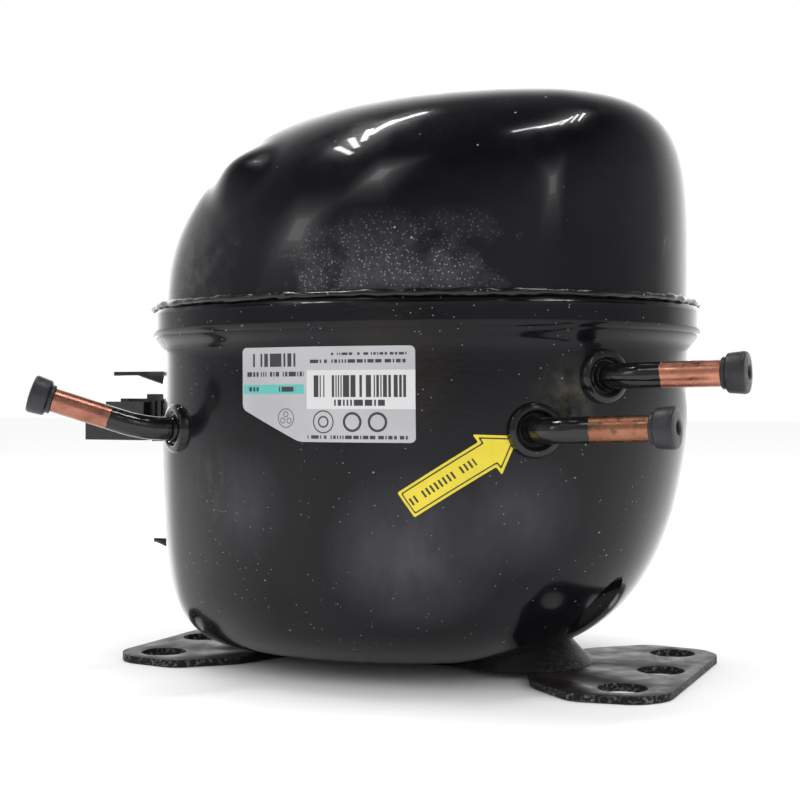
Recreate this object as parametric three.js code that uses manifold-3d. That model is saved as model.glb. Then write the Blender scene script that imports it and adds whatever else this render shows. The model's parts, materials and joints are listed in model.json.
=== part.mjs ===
// Hermetic reciprocating compressor: a welded two-piece steel shell on two stamped feet, with a
// spring-hung motor and Scotch-yoke pump inside. Millimetres, +Z up, origin on the floor plane
// midway between the four outer mounting holes.
import * as THREE from 'three';
import { mergeVertices } from 'three/addons/utils/BufferGeometryUtils.js';
import Module from 'manifold-3d';

const wasm = await Module();
wasm.setup();

// ---------- driving dimensions ----------
const GAP = 0.3;                     // between pieces that touch
const RUNNING = 0.15;                // radial clearance of a turning or sliding fit

const SHELL_X = 3;                   // shell centre
const SHELL_Y = -4;
const SHELL_HALF_LENGTH = 95.5;
const SHELL_HALF_WIDTH = 76;
const SHELL_SQUARENESS = 2.2;        // superellipse exponent of the plan outline
const SHELL_BOTTOM = 3.2;
const SHELL_TOP = 200;
const SHELL_WALL = 3;
const SEAM_HEIGHT = 127;             // widest level, where both halves meet
const LIP_BOTTOM = 115;              // flared lip of the lower half
const LIP_TOP = 125.5;
const LIP_WALL = 2.7;
const LIP_SLOPE = 2.6;
const BEAD_RADIUS = 1.35;
const DOME_RIGHT = 5.2;              // how boxy the dome is towards each side
const DOME_LEFT = 2.1;
const DOME_SIDE = 2.5;
const BOWL_RIGHT = 3.1;              // how boxy the bowl is towards each side
const BOWL_LEFT = 8;
const BOWL_SIDE = 4.2;
const DENT_DEPTH = 4.5;              // shallow pressed hollow on the left shoulder of the dome
const DENT_HEIGHT = 183;
const DENT_ANGLE = 200;
const DENT_SPREAD = 14;

const MOUNT_X = 85;                  // mounting hole pattern
const MOUNT_Y = 35;
const MOUNT_MIDDLE_X = 89;
const MOUNT_HOLE_RADIUS = 8;
const FOOT_THICKNESS = 2.5;

const TUBE_WALL = 0.8;
const TUBE_RADIUS = 4;
const COLLAR_RADIUS = 8.3;
const COLLAR_SLEEVE = 5.5;
const COLLAR_HEIGHT = 3.2;
const PLUG_RADIUS = 6.4;
const PLUG_LENGTH = 8;
const PLUG_STEM_LENGTH = 5;

const TERMINAL_HEIGHT = 86;
const TERMINAL_RADIUS = 12;
const TERMINAL_PIN_RADIUS = 1.2;
const TERMINAL_PIN_CIRCLE = 5;
const STARTER_LENGTH = 26;
const STARTER_WIDTH = 30;
const STARTER_HEIGHT = 15;

const SHAFT_X = -4;                  // vertical crankshaft axis
const SHAFT_Y = -4;
const SHAFT_RADIUS = 8;
const CRANK_THROW = 12.5;            // half the stroke
const CYLINDER_HEIGHT = 140;         // height of the cylinder axis
const BORE_RADIUS = 14;
const PISTON_REACH = 50;             // yoke centre to piston crown
const YOKE_RADIUS = 12;
const YOKE_WALL = 3;
const CRANK_PIN_RADIUS = 6;
const SLIDE_BLOCK_LENGTH = 17;

const STATOR_RADIUS = 56;
const STATOR_BOTTOM = 46;
const STATOR_TOP = 96;
const ROTOR_RADIUS = 29.6;
const AIR_GAP = 0.6;
const WINDING_OUTER = 43;
const WINDING_HEIGHT = 16;
const BOLT_OFFSET = 36;              // motor bolts and suspension springs, from the shaft axis
const BOLT_RADIUS = 2.5;
const SPRING_RADIUS = 6.2;
const SPRING_WIRE = 0.9;
const SPRING_TURNS = 4;
const SPRING_SEAT_HEIGHT = 23;

const CASE_BOTTOM = 106;             // crankcase plate
const CASE_TOP = 118;
const CASE_RADIUS = 58;
const BLOCK_HALF = 20;               // cylinder block, half width and half height
const VALVE_PLATE_THICKNESS = 3;
const REED_THICKNESS = 0.4;
const REED_HALF = 4;                 // half width
const REED_ROOT = 13;                // root distance from the cylinder axis
const REED_RELIEF = 1.4;             // pocket in the piston crown that the open suction reed dips into
const PORT_RADIUS = 2.6;
const PORT_OFFSET = 6;               // ports above and below the cylinder axis
const GASKET_THICKNESS = 0.8;
const HEAD_DEPTH = 14;
const HEAD_WALL = 4;
const HEAD_BOLT_INSET = 4;
const HEAD_BOLT_RADIUS = 2;

const ROUND = 24;                    // facets of an ordinary round piece
const SMALL_ROUND = 12;
const SHELL_SEGMENTS = 44;
const SHELL_RINGS = 20;

// ---------- materials ----------
const finish = (color, roughness, metalness) => ({ color, roughness, metalness });
const BLACK_ENAMEL = finish(0x0b0b0d, 0.18, 0.0);
const BARE_STEEL = finish(0x6f675f, 0.42, 0.9);
const COPPER = finish(0xb87350, 0.35, 1.0);
const RUBBER = finish(0x2c2d30, 0.8, 0.0);
const BLACK_PLASTIC = finish(0x151516, 0.55, 0.0);
const CAST_IRON = finish(0x55575a, 0.6, 0.8);
const STEEL = finish(0x9a9c9f, 0.35, 1.0);
const SPRING_STEEL = finish(0x77797c, 0.35, 1.0);
const LAMINATION = finish(0x4d4f55, 0.5, 0.9);
const ENAMEL_WIRE = finish(0x9c4a22, 0.45, 0.6);
const ALUMINIUM = finish(0xb9bcc0, 0.4, 1.0);
const CREAM_PLASTIC = finish(0xe6e0cd, 0.5, 0.0);
const WHITE_STICKER = finish(0xdfe3e6, 0.4, 0.0);
const YELLOW_STICKER = finish(0xf5d81e, 0.45, 0.0);
const GREEN_GASKET = finish(0x3f5a4a, 0.8, 0.0);
const BRASS = finish(0xb8964a, 0.35, 1.0);

// ---------- solid helpers ----------
function toSolid(geometry) {
  let plain = geometry.clone();
  plain.deleteAttribute('normal');
  plain.deleteAttribute('uv');
  plain = mergeVertices(plain, 1e-4);
  return new wasm.Manifold(new wasm.Mesh({
    numProp: 3,
    vertProperties: new Float32Array(plain.attributes.position.array),
    triVerts: new Uint32Array(plain.index.array),
  }));
}

function toGeometry(solid) {
  const mesh = solid.getMesh();
  const geometry = new THREE.BufferGeometry();
  geometry.setAttribute('position', new THREE.BufferAttribute(new Float32Array(mesh.vertProperties), 3));
  geometry.setIndex(new THREE.BufferAttribute(new Uint32Array(mesh.triVerts), 1));
  geometry.computeVertexNormals();
  return geometry;
}

const union = (...geometries) => geometries.map(toSolid).reduce((sum, piece) => sum.add(piece));
const cut = (solid, ...tools) => tools.reduce((rest, tool) => rest.subtract(toSolid(tool)), solid);

const compressor = new THREE.Group();
function addPiece(name, shape, look) {
  const geometry = shape.isBufferGeometry ? shape : toGeometry(shape);
  const mesh = new THREE.Mesh(geometry, new THREE.MeshStandardMaterial(look));
  mesh.name = name;
  compressor.add(mesh);
}

function box(x0, x1, y0, y1, z0, z1) {
  const geometry = new THREE.BoxGeometry(x1 - x0, y1 - y0, z1 - z0);
  return geometry.translate((x0 + x1) / 2, (y0 + y1) / 2, (z0 + z1) / 2);
}

// Upright cylinder between two heights.
function post(x, y, radius, z0, z1, facets = ROUND) {
  const geometry = new THREE.CylinderGeometry(radius, radius, z1 - z0, facets);
  return geometry.rotateX(Math.PI / 2).translate(x, y, (z0 + z1) / 2);
}

// Cylinder along X between two stations.
function rod(x0, x1, y, z, radius, facets = ROUND) {
  const geometry = new THREE.CylinderGeometry(radius, radius, x1 - x0, facets);
  return geometry.rotateZ(Math.PI / 2).translate((x0 + x1) / 2, y, z);
}

// Solid of revolution about an upright axis from [radius, height] corners.
function turned(x, y, corners, facets = ROUND) {
  const profile = [...corners, corners[0]].map(([r, h]) => new THREE.Vector2(r, h));
  return new THREE.LatheGeometry(profile, facets).rotateX(Math.PI / 2).translate(x, y, 0);
}

const ring = (x, y, inner, outer, z0, z1, facets = ROUND) =>
  turned(x, y, [[inner, z0], [outer, z0], [outer, z1], [inner, z1]], facets);

function plate(points, thickness) {
  const shape = new THREE.Shape(points.map(([x, y]) => new THREE.Vector2(x, y)));
  return new THREE.ExtrudeGeometry(shape, { depth: thickness, bevelEnabled: false });
}

const mix = (weights, values) => weights.reduce((sum, weight, i) => sum + weight * values[i], 0);

// Turns a shape made along +Z at the origin to point along a direction from a place.
function aim(geometry, place, direction) {
  const turn = new THREE.Quaternion().setFromUnitVectors(
    new THREE.Vector3(0, 0, 1), direction.clone().normalize());
  return geometry.applyQuaternion(turn).translate(place.x, place.y, place.z);
}

// ---------- shell outline ----------
function planRadius(angle, offset) {
  const across = Math.abs(Math.cos(angle)) / (SHELL_HALF_LENGTH + offset);
  const deep = Math.abs(Math.sin(angle)) / (SHELL_HALF_WIDTH + offset);
  return (across ** SHELL_SQUARENESS + deep ** SHELL_SQUARENESS) ** (-1 / SHELL_SQUARENESS);
}

// How far the shell closes in at a share of its rise above or drop below the seam.
function closing(angle, share, rightPower, leftPower, sidePower) {
  const towardsX = Math.cos(angle);
  const right = Math.max(towardsX, 0) ** 2;
  const left = Math.max(-towardsX, 0) ** 2;
  const power = mix([right, left, 1 - right - left], [rightPower, leftPower, sidePower]);
  return Math.max(0, 1 - share ** power) ** (1 / power);
}

function dent(angle, height) {
  const turn = THREE.MathUtils.degToRad(DENT_ANGLE);
  const away = Math.atan2(Math.sin(angle - turn), Math.cos(angle - turn)) * SHELL_HALF_LENGTH / 2;
  const distance = away ** 2 / 2 + (height - DENT_HEIGHT) ** 2;
  return DENT_DEPTH * Math.exp(-distance / DENT_SPREAD ** 2);
}

// Point on the shell for a direction round the plan and a share from -1 (bottom) to 1 (top).
function shellPoint(angle, share, offset) {
  const upper = share > 0;
  const level = Math.abs(share);
  const rise = upper ? SHELL_TOP + offset - SEAM_HEIGHT : SHELL_BOTTOM - offset - SEAM_HEIGHT;
  const height = SEAM_HEIGHT + level * rise;
  const shrink = upper
    ? closing(angle, level, DOME_RIGHT, DOME_LEFT, DOME_SIDE)
    : closing(angle, level, BOWL_RIGHT, BOWL_LEFT, BOWL_SIDE);
  const radius = planRadius(angle, offset) * shrink;
  const pressed = upper ? Math.min(dent(angle, height), radius / 2) : 0;
  return new THREE.Vector3(
    SHELL_X + (radius - pressed) * Math.cos(angle),
    SHELL_Y + (radius - pressed) * Math.sin(angle),
    height);
}

// The whole closed envelope, grown or shrunk by an offset.
function envelope(offset) {
  const geometry = new THREE.SphereGeometry(1, SHELL_SEGMENTS, SHELL_RINGS).rotateX(Math.PI / 2);
  const points = geometry.attributes.position;
  for (let i = 0; i < points.count; i += 1) {
    const angle = Math.atan2(points.getY(i), points.getX(i));
    const share = THREE.MathUtils.clamp(points.getZ(i), -1, 1);
    const place = shellPoint(angle, share, offset);
    points.setXYZ(i, place.x, place.y, place.z);
  }
  return geometry;
}

// Outline of the shell at the seam, grown by an offset, as a prism between two heights.
function seamPrism(lowOffset, highOffset, z0, z1) {
  const geometry = new THREE.CylinderGeometry(1, 1, 1, SHELL_SEGMENTS).rotateX(Math.PI / 2);
  const points = geometry.attributes.position;
  for (let i = 0; i < points.count; i += 1) {
    const low = points.getZ(i) < 0;
    const angle = Math.atan2(points.getY(i), points.getX(i));
    const onEdge = Math.hypot(points.getX(i), points.getY(i));
    const radius = onEdge * planRadius(angle, low ? lowOffset : highOffset);
    points.setXYZ(i, SHELL_X + radius * Math.cos(angle), SHELL_Y + radius * Math.sin(angle),
      low ? z0 : z1);
  }
  return geometry;
}

// Place on the shell wall at a height, with the outward direction there.
function shellSite(angleDegrees, height, offset = 0) {
  const angle = THREE.MathUtils.degToRad(angleDegrees);
  const reach = height > SEAM_HEIGHT ? SHELL_TOP - SEAM_HEIGHT : SHELL_BOTTOM - SEAM_HEIGHT;
  const share = (height - SEAM_HEIGHT) / Math.abs(reach);
  const step = 0.01;
  const place = shellPoint(angle, share, offset);
  const along = shellPoint(angle + step, share, offset).sub(shellPoint(angle - step, share, offset));
  const rise = shellPoint(angle, share + step, offset).sub(shellPoint(angle, share - step, offset));
  return { place, outward: along.cross(rise).normalize() };
}

// ---------- tube stubs ----------
// Each stub leaves the shell square to the wall, then bends to its own direction.
const STUBS = [
  { name: 'process', angle: -29, height: 101, out: 9, direction: [1, -0.04, 0.02], length: 30 },
  { name: 'suction', angle: -44, height: 84.5, out: 8, direction: [1, -0.06, 0.03], length: 34 },
  { name: 'discharge', angle: 221, height: 84, out: 8, direction: [-0.78, -0.5, 0.3], length: 32.5 },
];
const STUB_ROOT = 9;                 // length of stub inside the shell
const BEND = 7;                      // run of the bend on either side of its corner

function stubPath(stub) {
  const { place, outward } = shellSite(stub.angle, stub.height);
  const flat = outward.clone().setZ(0).normalize();
  const onward = new THREE.Vector3(...stub.direction).normalize();
  const corner = place.clone().addScaledVector(flat, stub.out);
  const end = corner.clone().addScaledVector(onward, stub.length);
  const route = new THREE.CurvePath();
  const bendStart = corner.clone().addScaledVector(flat, -BEND);
  const bendEnd = corner.clone().addScaledVector(onward, BEND);
  route.add(new THREE.LineCurve3(place.clone().addScaledVector(flat, -STUB_ROOT), bendStart));
  route.add(new THREE.QuadraticBezierCurve3(bendStart, corner, bendEnd));
  route.add(new THREE.LineCurve3(bendEnd, end));
  return { route, place, flat, onward, end };
}

function disc(radius, facets = SMALL_ROUND) {
  const turns = Array.from({ length: facets }, (_, i) => (2 * Math.PI * i) / facets);
  return new THREE.Shape(turns.map((t) => new THREE.Vector2(radius * Math.cos(t), radius * Math.sin(t))));
}

// A tube is closed at its root, so that the bore is a blind hollow.
function stubTube(path) {
  const steps = { steps: 12, extrudePath: path.route, bevelEnabled: false };
  const outer = new THREE.ExtrudeGeometry(disc(TUBE_RADIUS), steps);
  const boreLength = PLUG_STEM_LENGTH + 4;
  const bore = new THREE.CylinderGeometry(
    TUBE_RADIUS - TUBE_WALL, TUBE_RADIUS - TUBE_WALL, boreLength * 2, SMALL_ROUND);
  aim(bore.rotateX(Math.PI / 2), path.end, path.onward);
  return cut(toSolid(outer), bore);
}

function stubCollar(path) {
  const corners = [
    [TUBE_RADIUS + GAP, -SHELL_WALL - 1], [COLLAR_SLEEVE, -SHELL_WALL - 1], [COLLAR_SLEEVE, GAP + 0.6],
    [COLLAR_RADIUS, GAP + 0.6], [COLLAR_RADIUS, COLLAR_HEIGHT - 1], [COLLAR_RADIUS - 1, COLLAR_HEIGHT],
    [TUBE_RADIUS + 2.4, COLLAR_HEIGHT], [TUBE_RADIUS + GAP, COLLAR_HEIGHT - 1.6],
  ];
  return aim(turned(0, 0, corners), path.place, path.flat);
}

function stubPlug(path) {
  const stem = TUBE_RADIUS - TUBE_WALL - GAP;
  const corners = [
    [0, -PLUG_STEM_LENGTH], [stem, -PLUG_STEM_LENGTH], [stem, GAP], [PLUG_RADIUS - 1, GAP],
    [PLUG_RADIUS, PLUG_LENGTH - 1.2], [PLUG_RADIUS - 1.2, PLUG_LENGTH],
    [1.8, PLUG_LENGTH], [1.8, PLUG_LENGTH - 5], [0, PLUG_LENGTH - 5],
  ].map(([r, h]) => new THREE.Vector2(r, h));
  return aim(new THREE.LatheGeometry(corners, ROUND).rotateX(Math.PI / 2), path.end, path.onward);
}

const paths = STUBS.map((stub) => ({ name: stub.name, ...stubPath(stub) }));
for (const path of paths) {
  addPiece(`${path.name}_tube`, stubTube(path), COPPER);
  addPiece(`${path.name}_collar`, stubCollar(path), BLACK_ENAMEL);
  addPiece(`${path.name}_plug`, stubPlug(path), RUBBER);
}

// ---------- terminal, its guard tabs and the starter ----------
const terminalSite = shellSite(180, TERMINAL_HEIGHT);
const WALL_X = terminalSite.place.x;
const terminalPins = [90, 210, 330].map((turn) => {
  const angle = THREE.MathUtils.degToRad(turn);
  return {
    y: SHELL_Y + TERMINAL_PIN_CIRCLE * Math.cos(angle),
    z: TERMINAL_HEIGHT + TERMINAL_PIN_CIRCLE * Math.sin(angle),
  };
});
const PIN_OUT = 11;
const PIN_IN = 9;
const CUP_OUT = 2;
const cupEdge = WALL_X - CUP_OUT;

function hermeticTerminal() {
  const cup = rod(cupEdge, WALL_X + SHELL_WALL + 1, SHELL_Y, TERMINAL_HEIGHT, TERMINAL_RADIUS);
  const pins = terminalPins.map((pin) =>
    rod(WALL_X - PIN_OUT, WALL_X + SHELL_WALL + PIN_IN, pin.y, pin.z, TERMINAL_PIN_RADIUS, SMALL_ROUND));
  return union(cup, ...pins);
}
addPiece('hermetic_terminal', hermeticTerminal(), STEEL);

const STARTER_FACE = cupEdge - 1;
const STARTER_NECK = 9;
const starterBack = STARTER_FACE - STARTER_NECK;

const NECK_HALF = 10;
const RIB_PITCH = 2.6;
const RIB_THICKNESS = 1.3;
const LATCH_HALF = 6;

// A socket block: a wide body, a narrower ribbed neck and a latch on its top.
function starterBlock() {
  const bottom = TERMINAL_HEIGHT - STARTER_HEIGHT / 2;
  const top = TERMINAL_HEIGHT + STARTER_HEIGHT / 2;
  const body = box(starterBack - STARTER_LENGTH, starterBack + 1, SHELL_Y - STARTER_WIDTH / 2,
    SHELL_Y + STARTER_WIDTH / 2, bottom, top);
  const neck = box(starterBack, STARTER_FACE, SHELL_Y - NECK_HALF, SHELL_Y + NECK_HALF,
    bottom + 0.3, top - 0.3);
  const ribs = [0, 1, 2].map((i) => starterBack + 1.5 + i * RIB_PITCH).map((start) =>
    box(start, start + RIB_THICKNESS, SHELL_Y - NECK_HALF - 1, SHELL_Y + NECK_HALF + 1, bottom - 0.4, top + 0.4));
  const latch = box(starterBack - 4, starterBack + 0.4, SHELL_Y - LATCH_HALF, SHELL_Y + LATCH_HALF,
    top - 1, top + 2.5);
  const sockets = terminalPins.map((pin) => rod(WALL_X - PIN_OUT - 1.7, STARTER_FACE + 1, pin.y, pin.z,
    TERMINAL_PIN_RADIUS + GAP, SMALL_ROUND));
  return cut(union(body, neck, latch, ...ribs), ...sockets);
}
addPiece('starter_block', starterBlock(), BLACK_PLASTIC);

const TAB_THICKNESS = 1.5;
const TAB_ROOT = 6;                  // the tabs run on into the wall, and are trimmed to it
const TAB_HALF = 12;

// Bent sheet tab on the end wall: a flat tongue between two wedge-shaped side wings.
function guardTab(height, tongue, wingReach, wingDrop) {
  const sheet = box(WALL_X - tongue, WALL_X + TAB_ROOT, SHELL_Y - TAB_HALF, SHELL_Y + TAB_HALF,
    height, height + TAB_THICKNESS);
  const wedge = [
    [WALL_X - wingReach, height + TAB_THICKNESS], [WALL_X - wingReach, height],
    [WALL_X + TAB_ROOT, height - wingDrop], [WALL_X + TAB_ROOT, height + TAB_THICKNESS],
  ];
  const wings = [TAB_THICKNESS - TAB_HALF, TAB_HALF].map((edge) =>
    plate(wedge, TAB_THICKNESS).rotateX(Math.PI / 2).translate(0, SHELL_Y + edge, 0));
  return union(sheet, ...wings).subtract(toSolid(envelope(GAP)));
}
const UPPER_TAB_HEIGHT = TERMINAL_HEIGHT + 17;
const LOWER_TAB_HEIGHT = TERMINAL_HEIGHT - 46;
addPiece('upper_guard_tab', guardTab(UPPER_TAB_HEIGHT, 27, 14, 7), BLACK_ENAMEL);
addPiece('lower_guard_tab', guardTab(LOWER_TAB_HEIGHT, 9, 6, 5), BLACK_ENAMEL);

const EARTH_SCREW_HEIGHT = TERMINAL_HEIGHT - 16;
function earthScrew() {
  const shank = rod(WALL_X - 6, WALL_X - GAP, SHELL_Y, EARTH_SCREW_HEIGHT, 1.8, SMALL_ROUND);
  const head = rod(WALL_X - 8, WALL_X - 5.5, SHELL_Y, EARTH_SCREW_HEIGHT, 3.4, 6);
  return union(shank, head).subtract(toSolid(envelope(GAP)));
}
addPiece('earth_screw', earthScrew(), BRASS);

// ---------- shell ----------
const EXTENT = 150;
const below = (height) => box(-EXTENT, EXTENT, -EXTENT, EXTENT, -EXTENT, height);
const above = (height) => box(-EXTENT, EXTENT, -EXTENT, EXTENT, height, EXTENT * 2);

function stubHole(path) {
  const drill = new THREE.CylinderGeometry(COLLAR_SLEEVE + GAP, COLLAR_SLEEVE + GAP, 24, ROUND);
  return aim(drill.rotateX(Math.PI / 2), path.place, path.flat);
}

function lowerShell() {
  const wall = toSolid(envelope(0)).intersect(toSolid(below(LIP_BOTTOM)));
  const flare = toSolid(seamPrism(-1, LIP_WALL + GAP, LIP_BOTTOM - LIP_SLOPE, LIP_BOTTOM));
  const lip = toSolid(seamPrism(LIP_WALL + GAP, LIP_WALL + GAP, LIP_BOTTOM, LIP_TOP));
  const seat = seamPrism(GAP, GAP, LIP_BOTTOM, LIP_TOP + 1);
  const body = wall.add(flare).add(cut(lip, seat));
  const terminalHole = rod(WALL_X - 20, WALL_X + 20, SHELL_Y, TERMINAL_HEIGHT, TERMINAL_RADIUS + GAP);
  return cut(body, envelope(-SHELL_WALL), terminalHole, ...paths.map(stubHole));
}
addPiece('lower_shell', lowerShell(), BLACK_ENAMEL);

function upperShell() {
  const outer = toSolid(envelope(0)).intersect(toSolid(above(LIP_BOTTOM + GAP)));
  return cut(outer, envelope(-SHELL_WALL));
}
addPiece('upper_shell', upperShell(), BLACK_ENAMEL);

function weldBead() {
  const geometry = new THREE.TorusGeometry(SHELL_HALF_LENGTH, BEAD_RADIUS, 6, SHELL_SEGMENTS);
  const points = geometry.attributes.position;
  const offset = BEAD_RADIUS + GAP * 1.2;
  for (let i = 0; i < points.count; i += 1) {
    const angle = Math.atan2(points.getY(i), points.getX(i));
    const side = Math.hypot(points.getX(i), points.getY(i)) - SHELL_HALF_LENGTH;
    const radius = planRadius(angle, offset + side);
    points.setXYZ(i, SHELL_X + radius * Math.cos(angle), SHELL_Y + radius * Math.sin(angle),
      LIP_TOP + GAP + BEAD_RADIUS + points.getZ(i));
  }
  return geometry;
}
addPiece('weld_bead', weldBead(), BLACK_ENAMEL);

// ---------- base plate ----------
// One stamped plate: a foot at each end, joined by a strip that runs under the shell.
const FOOT_CORNER = [[54, 34], [72, 50], [94, 47], [101, 38]];
const STRIP_HALF = 8;
const STRIP_END = 44;                // where the strip widens into the foot
const SADDLE_HALF = 22;
const SADDLE_INNER = 40;             // pressed saddle that lifts from the plate to the shell
const SADDLE_OUTER = 66;
const SADDLE_SLOPE = 8;
const SADDLE_HEIGHT = 16;

function quarterOutline(signX, signY) {
  const corner = [[STRIP_END, STRIP_HALF], ...FOOT_CORNER].map(([x, y]) => [signX * x, signY * y]);
  return signX * signY > 0 ? corner.reverse() : corner;
}

function saddle(side) {
  const profile = [
    [SADDLE_INNER, FOOT_THICKNESS - 1], [SADDLE_INNER, SADDLE_HEIGHT],
    [SADDLE_OUTER - SADDLE_SLOPE, SADDLE_HEIGHT], [SADDLE_OUTER, FOOT_THICKNESS - 1],
  ];
  const slab = plate(profile.map(([x, z]) => [side * x, z]), 2 * SADDLE_HALF);
  return slab.rotateX(Math.PI / 2).translate(0, SADDLE_HALF, 0);
}

function basePlate() {
  const outline = [[1, -1], [1, 1], [-1, 1], [-1, -1]].flatMap(([sx, sy]) => quarterOutline(sx, sy));
  const holes = [-1, 1].flatMap((side) =>
    [[MOUNT_X, -MOUNT_Y], [MOUNT_MIDDLE_X, 0], [MOUNT_X, MOUNT_Y]].map(([x, y]) =>
      post(side * x, y, MOUNT_HOLE_RADIUS, -1, FOOT_THICKNESS + 1)));
  const sheet = plate(outline, FOOT_THICKNESS);
  return cut(union(sheet, saddle(-1), saddle(1)), ...holes, envelope(GAP));
}
addPiece('base_plate', basePlate(), BARE_STEEL);

// ---------- stickers ----------
// A sticker is a thin curved sheet over the shell. Its stations run along it, and each gives the
// [angle, height] of its low edge and of its high edge.
const STICKER_THICKNESS = 0.3;
const STICKER_LIFT = 0.4;
function sticker(stations, rows) {
  const strips = stations.length - 1;
  const geometry = new THREE.BoxGeometry(strips, 1, 1, strips, rows, 1);
  const points = geometry.attributes.position;
  for (let i = 0; i < points.count; i += 1) {
    const [low, high] = stations[Math.round(points.getX(i) + strips / 2)];
    const share = points.getY(i) + 0.5;
    const angle = mix([1 - share, share], [low[0], high[0]]);
    const height = mix([1 - share, share], [low[1], high[1]]);
    const { place, outward } = shellSite(angle, height);
    const lift = STICKER_LIFT + (points.getZ(i) > 0 ? STICKER_THICKNESS : 0);
    place.addScaledVector(outward, lift);
    points.setXYZ(i, place.x, place.y, place.z);
  }
  return geometry;
}

const LABEL_LEFT = -113.7;           // angles round the shell, in degrees
const LABEL_RIGHT = -69;
const LABEL_CUT = -97.6;             // where the slanted lower corner ends
const LABEL_TOP = 110.4;
const LABEL_BOTTOM = 80.6;
const LABEL_CUT_HEIGHT = 90.8;
const labelStations = [0, 0.2, 0.36, 0.5, 0.65, 0.8, 1].map((share) => {
  const angle = LABEL_LEFT + share * (LABEL_RIGHT - LABEL_LEFT);
  const slant = (LABEL_CUT - angle) / (LABEL_CUT - LABEL_LEFT);
  const low = LABEL_BOTTOM + Math.max(0, slant) * (LABEL_CUT_HEIGHT - LABEL_BOTTOM);
  return [[angle, low], [angle, LABEL_TOP]];
});
addPiece('rating_label', sticker(labelStations, 2), WHITE_STICKER);

const ARROW_TAIL = [-70.75, 61.5];   // middle of the tail edge, and the same for the head
const ARROW_HEAD = [-54.1, 76.7];
const ARROW_TIP = [-47.8, 82.7];
const ARROW_SHAFT_HALF = [-2.15, 4.25];
const ARROW_HEAD_HALF = [-2.8, 6.2];
const step = (from, to, share) => [0, 1].map((i) => from[i] + share * (to[i] - from[i]));
const across = (middle, half) => [-1, 1].map((side) => [0, 1].map((i) => middle[i] + side * half[i]));
const arrowStations = [
  ...[0, 0.35, 0.7, 1].map((share) => across(step(ARROW_TAIL, ARROW_HEAD, share), ARROW_SHAFT_HALF)),
  across(step(ARROW_HEAD, ARROW_TIP, 0.05), ARROW_HEAD_HALF),
  across(step(ARROW_HEAD, ARROW_TIP, 0.5), ARROW_HEAD_HALF.map((size) => size / 2)),
  across(ARROW_TIP, ARROW_HEAD_HALF.map((size) => size / 20)),
];
addPiece('arrow_sticker', sticker(arrowStations, 1), YELLOW_STICKER);

// ---------- motor ----------
const bolts = [[1, 1], [-1, 1], [-1, -1], [1, -1]].map(([sx, sy], i) => ({
  x: SHAFT_X + sx * BOLT_OFFSET, y: SHAFT_Y + sy * BOLT_OFFSET, label: i + 1,
}));
const boltHoles = (z0, z1) => bolts.map((bolt) =>
  post(bolt.x, bolt.y, BOLT_RADIUS + GAP, z0, z1, SMALL_ROUND));
const STATOR_BORE = ROTOR_RADIUS + AIR_GAP;

function stator() {
  const core = ring(SHAFT_X, SHAFT_Y, STATOR_BORE, STATOR_RADIUS, STATOR_BOTTOM, STATOR_TOP, 48);
  return cut(toSolid(core), ...boltHoles(STATOR_BOTTOM - 1, STATOR_TOP + 1));
}
addPiece('stator_core', stator(), LAMINATION);

function winding(z0, z1) {
  const inner = STATOR_BORE + 1;
  const round = 4;
  return turned(SHAFT_X, SHAFT_Y, [
    [inner, z0], [WINDING_OUTER - round, z0], [WINDING_OUTER, z0 + round],
    [WINDING_OUTER, z1 - round], [WINDING_OUTER - round, z1], [inner, z1],
  ], 40);
}
addPiece('upper_winding', winding(STATOR_TOP + GAP, CASE_BOTTOM - GAP), ENAMEL_WIRE);
addPiece('lower_winding', winding(STATOR_BOTTOM - GAP - WINDING_HEIGHT, STATOR_BOTTOM - GAP), ENAMEL_WIRE);

const ROTOR_SLEEVE = SHAFT_RADIUS + GAP;
addPiece('rotor_core', ring(SHAFT_X, SHAFT_Y, ROTOR_SLEEVE, ROTOR_RADIUS, STATOR_BOTTOM, STATOR_TOP), LAMINATION);
const END_RING_INNER = 17;
const END_RING_OUTER = 28;
const END_RING_HEIGHT = 5;
addPiece('upper_end_ring', ring(SHAFT_X, SHAFT_Y, END_RING_INNER, END_RING_OUTER,
  STATOR_TOP + GAP, STATOR_TOP + END_RING_HEIGHT), ALUMINIUM);
addPiece('lower_end_ring', ring(SHAFT_X, SHAFT_Y, END_RING_INNER, END_RING_OUTER,
  STATOR_BOTTOM - END_RING_HEIGHT, STATOR_BOTTOM - GAP), ALUMINIUM);

// ---------- crankcase and cylinder ----------
const BLOCK_START = SHAFT_X + YOKE_RADIUS + CRANK_THROW + 0.8;
const DECK = SHAFT_X + CRANK_THROW + PISTON_REACH + GAP;      // outer end of the cylinder bore
const BLOCK_TOP = CYLINDER_HEIGHT + BLOCK_HALF;
const HUB_RADIUS = 14;
const HUB_BOTTOM = STATOR_TOP + END_RING_HEIGHT + 1.5;
const LEG_RADIUS = 6.5;
const headBoltSpots = [[1, 1], [-1, 1], [-1, -1], [1, -1]].map(([sy, sz], i) => ({
  y: SHAFT_Y + sy * (BLOCK_HALF - HEAD_BOLT_INSET),
  z: CYLINDER_HEIGHT + sz * (BLOCK_HALF - HEAD_BOLT_INSET),
  label: i + 1,
}));
const headBoltHoles = (x0, x1) => headBoltSpots.map((spot) =>
  rod(x0, x1, spot.y, spot.z, HEAD_BOLT_RADIUS + GAP, SMALL_ROUND));
const HEAD_BOLT_GRIP = 12;           // thread length in the block

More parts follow.
